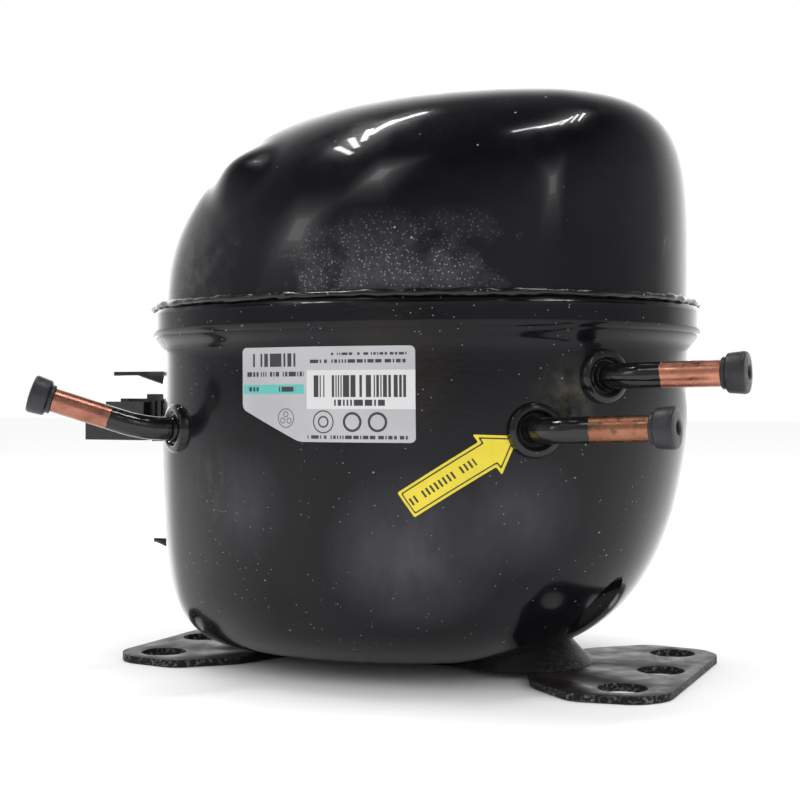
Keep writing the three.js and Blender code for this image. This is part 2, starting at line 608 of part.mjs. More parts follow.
function crankcase() {
  const base = post(SHAFT_X, SHAFT_Y, CASE_RADIUS, CASE_BOTTOM, CASE_TOP, 48);
  const hub = post(SHAFT_X, SHAFT_Y, HUB_RADIUS, HUB_BOTTOM, CASE_BOTTOM + 1);
  const block = box(BLOCK_START, DECK, SHAFT_Y - BLOCK_HALF, SHAFT_Y + BLOCK_HALF, CASE_TOP - 1, BLOCK_TOP);
  const legs = bolts.map((bolt) => post(bolt.x, bolt.y, LEG_RADIUS, STATOR_TOP + GAP, CASE_BOTTOM + 1, 24));
  return cut(union(base, hub, block, ...legs),
    post(SHAFT_X, SHAFT_Y, SHAFT_RADIUS + RUNNING, 0, EXTENT, ROUND),
    rod(BLOCK_START - 1, DECK + 1, SHAFT_Y, CYLINDER_HEIGHT, BORE_RADIUS, 48),
    ...boltHoles(STATOR_TOP - 1, CASE_TOP + 1),
    ...headBoltHoles(DECK - HEAD_BOLT_GRIP, DECK + 1));
}
addPiece('crankcase', crankcase(), CAST_IRON);

// ---------- crank, at rest with its pin away from the cylinder ----------
const PIN_X = SHAFT_X - CRANK_THROW;
const YOKE_INNER = YOKE_RADIUS - YOKE_WALL;
const WASHER_THICKNESS = 1.2;
const CRANK_WEB_BOTTOM = CASE_TOP + WASHER_THICKNESS + 2 * GAP;
const CRANK_WEB_TOP = CYLINDER_HEIGHT - BORE_RADIUS - 2 * GAP;
const SHAFT_BOTTOM = STATOR_BOTTOM - 6;
const PIN_TOP = CYLINDER_HEIGHT + YOKE_INNER - 3.2;
addPiece('thrust_washer', ring(SHAFT_X, SHAFT_Y, SHAFT_RADIUS + GAP, HUB_RADIUS,
  CASE_TOP + GAP, CASE_TOP + GAP + WASHER_THICKNESS), STEEL);

function crankshaft() {
  return union(
    post(SHAFT_X, SHAFT_Y, SHAFT_RADIUS, SHAFT_BOTTOM, CRANK_WEB_BOTTOM + 1),
    post(SHAFT_X, SHAFT_Y, CRANK_THROW + CRANK_PIN_RADIUS + 1.5, CRANK_WEB_BOTTOM, CRANK_WEB_TOP, 40),
    post(PIN_X, SHAFT_Y, CRANK_PIN_RADIUS, CRANK_WEB_TOP - 1, PIN_TOP));
}
addPiece('crankshaft', crankshaft(), STEEL);

const PICKUP_BOTTOM = SHELL_BOTTOM + SHELL_WALL + 7;
addPiece('oil_pickup', turned(SHAFT_X, SHAFT_Y, [
  [1.6, PICKUP_BOTTOM], [2.6, PICKUP_BOTTOM], [6.2, PICKUP_BOTTOM + 14], [6.2, SHAFT_BOTTOM - GAP],
  [5.2, SHAFT_BOTTOM - GAP], [5.2, PICKUP_BOTTOM + 14.4],
], 24), STEEL);

const slideBlockRadius = YOKE_INNER - RUNNING;
const alongY = (geometry) => geometry.rotateZ(Math.PI / 2);
function slideBlock() {
  const barrel = alongY(rod(-SLIDE_BLOCK_LENGTH / 2, SLIDE_BLOCK_LENGTH / 2, 0, 0, slideBlockRadius));
  barrel.translate(PIN_X, SHAFT_Y, CYLINDER_HEIGHT);
  return cut(toSolid(barrel), post(PIN_X, SHAFT_Y, CRANK_PIN_RADIUS + RUNNING, 0, EXTENT, ROUND));
}
addPiece('slide_block', slideBlock(), STEEL);

const YOKE_HALF = CRANK_THROW + SLIDE_BLOCK_LENGTH / 2 + 2.5;
const CROWN = PIN_X + PISTON_REACH;
const PISTON_LENGTH = 25;
const CAP_RADIUS = 4.5;
function piston() {
  const tube = alongY(rod(-YOKE_HALF, YOKE_HALF, 0, 0, YOKE_RADIUS)).translate(PIN_X, SHAFT_Y, CYLINDER_HEIGHT);
  const stem = rod(PIN_X + YOKE_INNER + 1, CROWN - PISTON_LENGTH + 1, SHAFT_Y, CYLINDER_HEIGHT, 9);
  const skirt = rod(CROWN - PISTON_LENGTH, CROWN, SHAFT_Y, CYLINDER_HEIGHT, BORE_RADIUS - RUNNING, 48);
  const channel = alongY(rod(-YOKE_HALF - 1, YOKE_HALF + 1, 0, 0, YOKE_INNER)).translate(PIN_X, SHAFT_Y, CYLINDER_HEIGHT);
  const slotHalf = CRANK_PIN_RADIUS + 1;
  const slot = box(PIN_X - slotHalf, PIN_X + slotHalf, SHAFT_Y - CRANK_THROW - slotHalf,
    SHAFT_Y + CRANK_THROW + slotHalf, CYLINDER_HEIGHT - YOKE_RADIUS - 1, CYLINDER_HEIGHT);
  const capHole = post(PIN_X, SHAFT_Y, CAP_RADIUS + GAP, CYLINDER_HEIGHT, CYLINDER_HEIGHT + YOKE_RADIUS + 1);
  const relief = box(CROWN - REED_RELIEF, CROWN + 1, SHAFT_Y - REED_HALF - 0.6, SHAFT_Y + REED_HALF + 0.6,
    CYLINDER_HEIGHT - REED_ROOT, CYLINDER_HEIGHT + PORT_OFFSET + PORT_RADIUS + 2);
  return cut(union(tube, stem, skirt), channel, slot, capHole, relief);
}
addPiece('piston_and_yoke', piston(), CAST_IRON);
addPiece('yoke_oil_cap', post(PIN_X, SHAFT_Y, CAP_RADIUS, CYLINDER_HEIGHT + YOKE_INNER + GAP,
  CYLINDER_HEIGHT + YOKE_RADIUS + 1, 24), BRASS);

// ---------- valves and cylinder head ----------
const PLATE_START = DECK + 1.2;
const PLATE_END = PLATE_START + VALVE_PLATE_THICKNESS;
const GASKET_END = PLATE_END + GAP + GASKET_THICKNESS;
const HEAD_START = GASKET_END + GAP;
const HEAD_END = HEAD_START + HEAD_DEPTH;
const SUCTION_PORT_Z = CYLINDER_HEIGHT + PORT_OFFSET;
const DISCHARGE_PORT_Z = CYLINDER_HEIGHT - PORT_OFFSET;
const block = (x0, x1, inset = 0) => box(x0, x1, SHAFT_Y - BLOCK_HALF + inset, SHAFT_Y + BLOCK_HALF - inset,
  CYLINDER_HEIGHT - BLOCK_HALF + inset, BLOCK_TOP - inset);

addPiece('valve_plate', cut(toSolid(block(PLATE_START, PLATE_END)),
  rod(PLATE_START - 1, PLATE_END + 1, SHAFT_Y, SUCTION_PORT_Z, PORT_RADIUS, SMALL_ROUND),
  rod(PLATE_START - 1, PLATE_END + 1, SHAFT_Y, DISCHARGE_PORT_Z, PORT_RADIUS, SMALL_ROUND),
  ...headBoltHoles(PLATE_START - 1, PLATE_END + 1)), STEEL);

// Reeds are flat tongues rooted beyond the bore and covering a port.
const suctionReedX = PLATE_START - GAP - REED_THICKNESS;
const dischargeReedX = PLATE_END + GAP;
addPiece('suction_reed', box(suctionReedX, suctionReedX + REED_THICKNESS, SHAFT_Y - REED_HALF,
  SHAFT_Y + REED_HALF, CYLINDER_HEIGHT - REED_ROOT, SUCTION_PORT_Z + PORT_RADIUS + 1), SPRING_STEEL);
addPiece('discharge_reed', box(dischargeReedX, dischargeReedX + REED_THICKNESS, SHAFT_Y - REED_HALF,
  SHAFT_Y + REED_HALF, DISCHARGE_PORT_Z - PORT_RADIUS - 1, CYLINDER_HEIGHT + REED_ROOT), SPRING_STEEL);

addPiece('head_gasket', cut(toSolid(block(PLATE_END + GAP, GASKET_END)),
  block(PLATE_END, GASKET_END + 1, HEAD_WALL), ...headBoltHoles(PLATE_END, GASKET_END + 1)), GREEN_GASKET);

function cylinderHead() {
  const chamber = block(HEAD_START - 1, HEAD_END - HEAD_WALL, HEAD_WALL);
  const bosses = headBoltSpots.map((spot) => rod(HEAD_START, HEAD_END - 1, spot.y, spot.z, HEAD_WALL, 20));
  const hollow = cut(toSolid(block(HEAD_START, HEAD_END)), chamber);
  const whole = bosses.reduce((sum, boss) => sum.add(toSolid(boss)), hollow);
  const inside = toSolid(block(HEAD_START, HEAD_END));
  return cut(whole.intersect(inside), ...headBoltHoles(HEAD_START - 1, HEAD_END + 1));
}
addPiece('cylinder_head', cylinderHead(), ALUMINIUM);

for (const spot of headBoltSpots) {
  const shank = rod(DECK - HEAD_BOLT_GRIP + 1, HEAD_END + 1, spot.y, spot.z, HEAD_BOLT_RADIUS, 12);
  const head = rod(HEAD_END + GAP, HEAD_END + 3.3, spot.y, spot.z, 2 * HEAD_BOLT_RADIUS, 6);
  addPiece(`head_bolt_${spot.label}`, union(shank, head), STEEL);
}

// ---------- mufflers and discharge line ----------
const MUFFLER_GAP = 2;
const MUFFLER_LIFT = 5;               // clears the motor bolt ends
const SUCTION_MUFFLER = { length: 32, width: 24, height: 36 };
const mufflerY = SHAFT_Y - BLOCK_HALF - MUFFLER_GAP;
const mufflerX = DECK - 4;
function suctionMuffler() {
  const { length, width, height } = SUCTION_MUFFLER;
  const body = box(mufflerX - length, mufflerX, mufflerY - width, mufflerY,
    CASE_TOP + MUFFLER_LIFT, CASE_TOP + MUFFLER_LIFT + height);
  const inlet = rod(mufflerX - 1, mufflerX + 8, mufflerY - width / 2, CASE_TOP + height / 2, 4, 20);
  const bore = rod(mufflerX + 2, mufflerX + 9, mufflerY - width / 2, CASE_TOP + height / 2, 2.6, 20);
  return cut(union(body, inlet), bore);
}
addPiece('suction_muffler', suctionMuffler(), CREAM_PLASTIC);

const DISCHARGE_MUFFLER_RADIUS = 11;
const dischargeY = SHAFT_Y + BLOCK_HALF + MUFFLER_GAP + DISCHARGE_MUFFLER_RADIUS;
const dischargeZ = CASE_TOP + MUFFLER_LIFT + DISCHARGE_MUFFLER_RADIUS;
addPiece('discharge_muffler', rod(BLOCK_START, DECK - 4, dischargeY, dischargeZ, DISCHARGE_MUFFLER_RADIUS), STEEL);

const LINE_RADIUS = 2.2;
function dischargeLine() {
  const route = new THREE.CatmullRomCurve3([
    [BLOCK_START - 1, dischargeY, dischargeZ],
    [BLOCK_START - 10, dischargeY + 3, dischargeZ + 2],
    [SHAFT_X - 20, SHAFT_Y + 54, dischargeZ + 2],
    [SHAFT_X - 52, SHAFT_Y + 38, dischargeZ],
    [SHAFT_X - 66, SHAFT_Y + 12, dischargeZ - 6],
    [SHAFT_X - 69, SHAFT_Y - 12, dischargeZ - 16],
    [SHAFT_X - 66, SHAFT_Y - 26, dischargeZ - 28],
  ].map(([x, y, z]) => new THREE.Vector3(x, y, z)));
  return new THREE.ExtrudeGeometry(disc(LINE_RADIUS, 8), { steps: 20, extrudePath: route, bevelEnabled: false });
}
addPiece('discharge_line', dischargeLine(), COPPER);

// ---------- electrical lead inside ----------
const clusterX = WALL_X + SHELL_WALL + 3;
addPiece('lead_connector', cut(
  toSolid(box(clusterX, clusterX + 9, SHELL_Y - 9, SHELL_Y + 9, TERMINAL_HEIGHT - 8, TERMINAL_HEIGHT + 8)),
  ...terminalPins.map((pin) => rod(clusterX - 1, WALL_X + SHELL_WALL + PIN_IN + 1, pin.y, pin.z,
    TERMINAL_PIN_RADIUS + GAP, SMALL_ROUND))), CREAM_PLASTIC);

function motorLead() {
  const route = new THREE.CatmullRomCurve3([
    [clusterX + 10.5, SHELL_Y, TERMINAL_HEIGHT + 4],
    [clusterX + 14, SHELL_Y, TERMINAL_HEIGHT + 8],
    [SHAFT_X - STATOR_RADIUS - 2, SHAFT_Y, STATOR_TOP + 4],
    [SHAFT_X - WINDING_OUTER - 6, SHAFT_Y, STATOR_TOP + 5.5],
  ].map(([x, y, z]) => new THREE.Vector3(x, y, z)));
  return new THREE.ExtrudeGeometry(disc(1.6, 8), { steps: 12, extrudePath: route, bevelEnabled: false });
}
addPiece('motor_lead', motorLead(), CREAM_PLASTIC);

// ---------- motor bolts and suspension springs ----------
const PEG_RADIUS = SPRING_RADIUS - SPRING_WIRE - 1;
const BOLT_HEAD_HEIGHT = 3;
const springTop = STATOR_BOTTOM - GAP - BOLT_HEAD_HEIGHT - GAP;
const springBottom = SPRING_SEAT_HEIGHT + GAP;

function springCoil(x, y) {
  class Coil extends THREE.Curve {
    getPoint(t, target = new THREE.Vector3()) {
      const turn = 2 * Math.PI * SPRING_TURNS * t;
      const low = springBottom + SPRING_WIRE;
      const high = springTop - SPRING_WIRE;
      return target.set(x + SPRING_RADIUS * Math.cos(turn), y + SPRING_RADIUS * Math.sin(turn),
        low + t * (high - low));
    }
  }
  const steps = SPRING_TURNS * 10;
  return new THREE.ExtrudeGeometry(disc(SPRING_WIRE, 5), { steps, extrudePath: new Coil(), bevelEnabled: false });
}

for (const bolt of bolts) {
  addPiece(`motor_bolt_${bolt.label}`, turned(bolt.x, bolt.y, [
    [0, springTop - 6], [PEG_RADIUS, springTop - 6], [PEG_RADIUS, springTop + GAP],
    [SPRING_RADIUS + 1, springTop + GAP], [SPRING_RADIUS + 1, STATOR_BOTTOM - GAP],
    [BOLT_RADIUS, STATOR_BOTTOM - GAP], [BOLT_RADIUS, CASE_TOP + 4], [0, CASE_TOP + 4],
  ], SMALL_ROUND), STEEL);
  addPiece(`spring_seat_${bolt.label}`, turned(bolt.x, bolt.y, [
    [0, SPRING_SEAT_HEIGHT - 3], [SPRING_RADIUS + 0.8, SPRING_SEAT_HEIGHT - 3],
    [SPRING_RADIUS + 0.8, SPRING_SEAT_HEIGHT], [PEG_RADIUS, SPRING_SEAT_HEIGHT],
    [PEG_RADIUS, SPRING_SEAT_HEIGHT + 5], [0, SPRING_SEAT_HEIGHT + 5],
  ], SMALL_ROUND), STEEL);
  addPiece(`spring_${bolt.label}`, springCoil(bolt.x, bolt.y), SPRING_STEEL);
}

export default compressor;
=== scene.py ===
"""Looks of a hermetic reciprocating compressor: enamelled shell, copper stubs, stamped base, stickers."""
import json
from fnmatch import fnmatch
from math import atan2, cos, pi, radians, sin

import bmesh
import bpy
from mathutils import Matrix, Vector


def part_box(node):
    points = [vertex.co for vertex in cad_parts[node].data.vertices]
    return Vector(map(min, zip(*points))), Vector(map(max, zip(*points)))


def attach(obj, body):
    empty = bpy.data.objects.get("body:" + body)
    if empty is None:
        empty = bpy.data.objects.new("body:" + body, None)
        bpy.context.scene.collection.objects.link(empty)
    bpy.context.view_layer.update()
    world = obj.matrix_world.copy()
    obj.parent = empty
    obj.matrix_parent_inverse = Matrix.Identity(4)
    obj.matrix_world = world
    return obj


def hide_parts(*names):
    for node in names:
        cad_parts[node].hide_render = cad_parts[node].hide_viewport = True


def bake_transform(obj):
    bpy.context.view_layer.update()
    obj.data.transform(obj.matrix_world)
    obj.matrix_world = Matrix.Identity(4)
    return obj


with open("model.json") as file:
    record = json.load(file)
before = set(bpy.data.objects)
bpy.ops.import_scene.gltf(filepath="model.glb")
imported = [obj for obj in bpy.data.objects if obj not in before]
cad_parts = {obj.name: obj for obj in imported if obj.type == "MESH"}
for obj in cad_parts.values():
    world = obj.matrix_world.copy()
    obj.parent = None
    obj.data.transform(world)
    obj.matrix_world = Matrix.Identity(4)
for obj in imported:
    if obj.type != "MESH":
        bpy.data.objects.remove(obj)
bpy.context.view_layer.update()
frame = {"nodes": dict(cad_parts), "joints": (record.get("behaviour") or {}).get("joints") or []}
MM = 0.001


# ---------- shell form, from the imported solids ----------
def centre(node):
    low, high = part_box(node)
    return (low + high) / 2


def size(node):
    low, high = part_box(node)
    return high - low


DOME_LOW, DOME_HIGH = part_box("upper_shell")
BOWL_LOW, BOWL_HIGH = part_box("lower_shell")
LIP = 3.0 * MM                       # how far the flared lip stands out from the wall
SHELL_X = (DOME_LOW.x + DOME_HIGH.x) / 2
SHELL_Y = (DOME_LOW.y + DOME_HIGH.y) / 2
HALF_LENGTH = (DOME_HIGH.x - DOME_LOW.x) / 2
HALF_WIDTH = (DOME_HIGH.y - DOME_LOW.y) / 2
SHELL_TOP = DOME_HIGH.z
SHELL_BOTTOM = BOWL_LOW.z
LIP_TOP = BOWL_HIGH.z
SEAM = LIP_TOP + 1.5 * MM
LIP_BOTTOM = LIP_TOP - 10.5 * MM
SQUARENESS = 2.2                     # of the plan outline
WALL = 3 * MM


# ---------- modelling helpers ----------
def deselect():
    if bpy.context.mode != "OBJECT":
        bpy.ops.object.mode_set(mode="OBJECT")
    bpy.ops.object.select_all(action="DESELECT")


def started(name):
    """Names the primitive that was just added and enters edit mode on it."""
    piece = bpy.context.object
    piece.name = name
    piece.data.name = name
    bpy.ops.object.mode_set(mode="EDIT")
    return piece


def leave_edit():
    bpy.ops.object.mode_set(mode="OBJECT")


def pick(piece, test, kind="VERT"):
    """Selects the vertices, edges or faces whose centre passes the test."""
    bpy.ops.mesh.select_mode(type=kind)
    bpy.ops.mesh.select_all(action="DESELECT")
    mesh = bmesh.from_edit_mesh(piece.data)
    if kind == "VERT":
        for vertex in mesh.verts:
            vertex.select_set(test(vertex.co))
    elif kind == "EDGE":
        for edge in mesh.edges:
            edge.select_set(test((edge.verts[0].co + edge.verts[1].co) / 2))
    else:
        for face in mesh.faces:
            face.select_set(test(face.calc_center_median()))
    mesh.select_flush_mode()
    bmesh.update_edit_mesh(piece.data)


def apply_all(piece):
    deselect()
    bpy.context.view_layer.objects.active = piece
    piece.select_set(True)
    for modifier in list(piece.modifiers):
        bpy.ops.object.modifier_apply(modifier=modifier.name)


def smooth(piece, levels):
    modifier = piece.modifiers.new("smooth", "SUBSURF")
    modifier.levels = levels
    modifier.render_levels = levels
    return modifier


def bevel(piece, width, segments=3, angle=30):
    modifier = piece.modifiers.new("edge", "BEVEL")
    modifier.width = width
    modifier.segments = segments
    modifier.limit_method = "ANGLE"
    modifier.angle_limit = radians(angle)
    return modifier


def boolean(piece, tool, operation="DIFFERENCE"):
    modifier = piece.modifiers.new("cut", "BOOLEAN")
    modifier.operation = operation
    modifier.object = tool
    modifier.solver = "EXACT"
    apply_all(piece)
    bpy.data.objects.remove(tool)


def place_in_mesh(piece):
    """Puts a piece's place into its mesh, so that its object sits at the origin."""
    deselect()
    bpy.context.view_layer.objects.active = piece
    piece.select_set(True)
    bpy.ops.object.transform_apply(location=True, rotation=True, scale=True)


def shade(piece, angle=40):
    deselect()
    bpy.context.view_layer.objects.active = piece
    piece.select_set(True)
    bpy.ops.object.shade_smooth_by_angle(angle=radians(angle))


def face_out(piece):
    deselect()
    bpy.context.view_layer.objects.active = piece
    bpy.ops.object.mode_set(mode="EDIT")
    bpy.ops.mesh.select_all(action="SELECT")
    bpy.ops.mesh.remove_doubles(threshold=1e-6)
    bpy.ops.mesh.normals_make_consistent(inside=False)
    leave_edit()


def done(piece, finish, slot, body, *nodes, angle=40):
    """Gives a finished piece its material, its body if it keeps to one, and the CAD nodes it stands for."""
    place_in_mesh(piece)
    shade(piece, angle)
    if finish is not None:
        piece.data.materials.clear()
        piece.data.materials.append(finish)
    if body is not None:
        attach(piece, body)
    if nodes:
        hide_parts(*nodes)
    return piece


def point_along(piece, place, direction):
    """Turns a piece made along +Z at the origin to point along a direction from a place."""
    turn = Vector((0, 0, 1)).rotation_difference(Vector(direction).normalized())
    piece.matrix_world = Matrix.Translation(place) @ turn.to_matrix().to_4x4()


# ---------- shells ----------
RING_SEGMENTS = 64


def closing(share, power):
    """How much of its width a side keeps at a share of the way from the seam to the top or bottom."""
    return max(0.0, 1 - share ** power) ** (1 / power)


def ring_at(share, rim_z, end_z, right, left, side):
    """One level of a shell: half length, half width, centre and height."""
    to_right = HALF_LENGTH * closing(share, right)
    to_left = HALF_LENGTH * closing(share, left)
    return ((to_right + to_left) / 2, HALF_WIDTH * closing(share, side),
            SHELL_X + (to_right - to_left) / 2, rim_z + share * (end_z - rim_z))


def level_ring(grow, z):
    return HALF_LENGTH + grow, HALF_WIDTH + grow, SHELL_X, z


def skin(name, rings):
    """Extrudes a plan outline through its levels and closes the last one at a point."""
    deselect()
    half_x, half_y, mid_x, z = rings[0]
    bpy.ops.mesh.primitive_circle_add(vertices=RING_SEGMENTS, radius=1, location=(0, 0, 0))
    piece = bpy.context.object
    piece.name = name
    squarer = piece.modifiers.new("squarer", "CAST")
    squarer.cast_type = "CUBOID"
    squarer.factor = (2 ** (0.5 - 1 / SQUARENESS) - 1) / (2 ** 0.5 - 1)
    squarer.use_z = False
    apply_all(piece)
    bpy.ops.object.mode_set(mode="EDIT")
    bpy.ops.mesh.select_all(action="SELECT")
    bpy.ops.transform.resize(value=(half_x, half_y, 1), center_override=(0, 0, 0))
    bpy.ops.transform.translate(value=(mid_x, SHELL_Y, z))
    for new_x, new_y, new_mid, new_z in rings[1:]:
        shift = (new_mid - mid_x, 0, new_z - z)
        bpy.ops.mesh.extrude_region_move(TRANSFORM_OT_translate={"value": shift})
        if min(new_x, new_y) < 1e-4:
            bpy.ops.mesh.merge(type="CENTER")
            break
        bpy.ops.transform.resize(value=(new_x / half_x, new_y / half_y, 1),
                                 center_override=(new_mid, SHELL_Y, new_z))
        half_x, half_y, mid_x, z = new_x, new_y, new_mid, new_z
    leave_edit()
    face_out(piece)
    return piece


def press(piece, spot, push, reach):
    """Presses a soft hollow into a sheet with proportional editing."""
    deselect()
    bpy.context.view_layer.objects.active = piece
    bpy.ops.object.mode_set(mode="EDIT")
    bpy.ops.mesh.select_mode(type="VERT")
    bpy.ops.mesh.select_all(action="DESELECT")
    mesh = bmesh.from_edit_mesh(piece.data)
    mesh.verts.ensure_lookup_table()
    nearest = min(mesh.verts, key=lambda vertex: (vertex.co - Vector(spot)).length)
    nearest.select_set(True)
    bmesh.update_edit_mesh(piece.data)
    bpy.ops.transform.translate(value=push, use_proportional_edit=True, proportional_edit_falloff="SMOOTH",
                                proportional_size=reach)
    leave_edit()


def dome():
    steps = 16
    rings = [level_ring(0, LIP_BOTTOM + 1 * MM), level_ring(0, SEAM)]
    rings += [ring_at(sin(pi / 2 * k / steps), SEAM, SHELL_TOP, 5.2, 2.1, 2.5) for k in range(1, steps)]
    rings.append((0, 0, rings[-1][2], SHELL_TOP))
    piece = skin("dome", rings)
    smooth(piece, 2)
    apply_all(piece)
    # the shallow dent on the left shoulder, pressed after the dome is drawn
    press(piece, (SHELL_X - 66 * MM, SHELL_Y - 20 * MM, 184 * MM), (9 * MM, 4 * MM, -11 * MM), 34 * MM)
    press(piece, (SHELL_X - 42 * MM, SHELL_Y - 55 * MM, 170 * MM), (-1.8 * MM, -2.4 * MM, 1.8 * MM), 17 * MM)
    wall = piece.modifiers.new("wall", "SOLIDIFY")
    wall.thickness = WALL
    wall.offset = -1
    return piece


def bowl():
    steps = 14
    rings = [
        level_ring(0.5 * MM, LIP_BOTTOM + 1 * MM), level_ring(0.5 * MM, LIP_TOP - 0.6 * MM),
        level_ring(1.0 * MM, LIP_TOP), level_ring(LIP - 0.8 * MM, LIP_TOP), level_ring(LIP, LIP_TOP - 1 * MM),
        level_ring(LIP, LIP_BOTTOM + 1 * MM), level_ring(LIP - 0.3 * MM, LIP_BOTTOM),
        level_ring(0.7 * MM, LIP_BOTTOM - 2.4 * MM), level_ring(0, LIP_BOTTOM - 3.6 * MM),
    ]
    start = (SEAM - LIP_BOTTOM + 6 * MM) / (SEAM - SHELL_BOTTOM)
    shares = [sin(pi / 2 * (k / steps)) for k in range(steps)]
    rings += [ring_at(share, SEAM, SHELL_BOTTOM, 3.1, 8, 4.2) for share in shares if share > start]
    rings.append((0, 0, rings[-1][2], SHELL_BOTTOM))
    piece = skin("bowl", rings)
    smooth(piece, 2)
    apply_all(piece)
    return piece


def delete_cap(piece, level):
    deselect()
    bpy.context.view_layer.objects.active = piece
    bpy.ops.object.mode_set(mode="EDIT")
    pick(piece, lambda middle: abs(middle.z - level) < 1e-5 and abs(middle.x - SHELL_X) < 1 * MM, "FACE")
    bpy.ops.mesh.delete(type="ONLY_FACE")
    leave_edit()


def scooped(piece):
    """Cuts the two hollows that clear the right-hand mounting bolts out of the bowl, then gives it a wall."""
    cap_level = LIP_BOTTOM + 1 * MM
    deselect()
    bpy.context.view_layer.objects.active = piece
    bpy.ops.object.mode_set(mode="EDIT")
    pick(piece, lambda at: abs(at.z - cap_level) < 1e-5)
    bpy.ops.mesh.edge_face_add()
    leave_edit()
    for across in (-20 * MM, 20 * MM):
        deselect()
        bpy.ops.mesh.primitive_uv_sphere_add(segments=64, ring_count=32, radius=1)
        tool = started("scoop")
        bpy.ops.mesh.select_all(action="SELECT")
        bpy.ops.transform.resize(value=(30 * MM, 11 * MM, 26 * MM))
        bpy.ops.transform.translate(value=(SHELL_X + 89 * MM, SHELL_Y + across, 12 * MM))
        leave_edit()
        boolean(piece, tool)
    delete_cap(piece, cap_level)
    wall = piece.modifiers.new("wall", "SOLIDIFY")
    wall.thickness = WALL
    wall.offset = -1
    return piece


def weld():
    """Lumpy fillet of weld metal between the lip and the dome."""
    deselect()
    bpy.ops.mesh.primitive_torus_add(major_segments=320, minor_segments=12, major_radius=1, minor_radius=0.1)
    piece = started("weld_metal")
    mesh = bmesh.from_edit_mesh(piece.data)
    for vertex in mesh.verts:
        angle = atan2(vertex.co.y, vertex.co.x)
        outline = (abs(cos(angle) / (HALF_LENGTH + 1.5 * MM)) ** SQUARENESS
                   + abs(sin(angle) / (HALF_WIDTH + 1.5 * MM)) ** SQUARENESS) ** (-1 / SQUARENESS)
        side = (vertex.co.xy.length - 1) * 14 * MM
        vertex.co = Vector((SHELL_X + (outline + side) * cos(angle), SHELL_Y + (outline + side) * sin(angle),
                            LIP_TOP + 0.9 * MM + vertex.co.z * 12 * MM))
    bmesh.update_edit_mesh(piece.data)
    leave_edit()
    lumps = bpy.data.textures.new("weld_lumps", "CLOUDS")
    lumps.noise_scale = 4 * MM
    ripple = piece.modifiers.new("lumps", "DISPLACE")
    ripple.texture = lumps
    ripple.texture_coords = "LOCAL"
    ripple.strength = 1.7 * MM
    ripple.mid_level = 0.5
    return piece


# ---------- tube stubs ----------
TUBE_RADIUS = 4 * MM
TUBE_WALL = 0.8 * MM
BEND_RUN = 7 * MM
JOINT_AXES = {joint["name"]: Vector(joint["axis"]) for joint in frame["joints"]}
STUBS = {"process": 18 * MM, "suction": 18 * MM, "discharge": 19 * MM}     # bare copper at the end
PLUG_MIDDLE = 1.5 * MM               # from a tube's end to the middle of its plug
STEM_LENGTH = 5 * MM                 # of a plug, inside the tube


def outline_normal(spot):
    """Outward direction of the plan outline nearest to a spot on the wall."""
    x = spot.x - SHELL_X
    y = spot.y - SHELL_Y
    across = abs(x) ** (SQUARENESS - 1) / HALF_LENGTH ** SQUARENESS
    deep = abs(y) ** (SQUARENESS - 1) / HALF_WIDTH ** SQUARENESS
    return Vector((across if x > 0 else -across, deep if y > 0 else -deep, 0)).normalized()


def stub_course(name):
    """Root of a stub, its direction there, its corner, its direction past it and its length past it."""
    collar = centre(f"{name}_collar")
    outward = outline_normal(collar)
    onward = JOINT_AXES[f"{name}_plug_pull"].normalized()
    plug = centre(f"{name}_plug")
    apart = plug - collar
    flat_onward = Vector((onward.x, onward.y, 0))
    turn = outward.x * flat_onward.y - outward.y * flat_onward.x
    run = (apart.x * flat_onward.y - apart.y * flat_onward.x) / turn
    corner = collar + outward * run
    length = (plug - corner).dot(onward)
    return collar, outward, corner, onward, length


def stub_tube(name):
    """A bent tube drawn as a bezier, with an open bore at its end."""
    collar, outward, corner, onward, length = stub_course(name)
    end = corner + onward * (length - PLUG_MIDDLE)
    deselect()
    bpy.ops.curve.primitive_bezier_curve_add(location=(0, 0, 0))
    course = bpy.context.object
    spline = course.data.splines[0]
    spline.bezier_points.add(2)
    bend_in = corner - outward * BEND_RUN
    bend_out = corner + onward * BEND_RUN
    spots = [collar - outward * 6 * MM, bend_in, bend_out, end]
    reaches = [outward, outward, onward, onward]
    for point, spot, direction in zip(spline.bezier_points, spots, reaches):
        point.handle_left_type = point.handle_right_type = "FREE"
        point.co = spot
        point.handle_left = spot - direction * BEND_RUN * 0.55
        point.handle_right = spot + direction * BEND_RUN * 0.55
    course.data.resolution_u = 24
    course.data.bevel_depth = TUBE_RADIUS
    course.data.bevel_resolution = 12
    bpy.ops.object.convert(target="MESH")
    piece = bpy.context.object
    piece.name = f"{name}_stub"
    face_out(piece)
    bare = piece.data.attributes.new("bare", "FLOAT", "POINT")
    boundary = length - PLUG_MIDDLE - STUBS[name]
    for vertex in piece.data.vertices:
        along = (vertex.co - corner).dot(onward)
        bare.data[vertex.index].value = (along - boundary) / MM
    wall = piece.modifiers.new("wall", "SOLIDIFY")
    wall.thickness = TUBE_WALL
    wall.offset = -1
    apply_all(piece)
    return piece


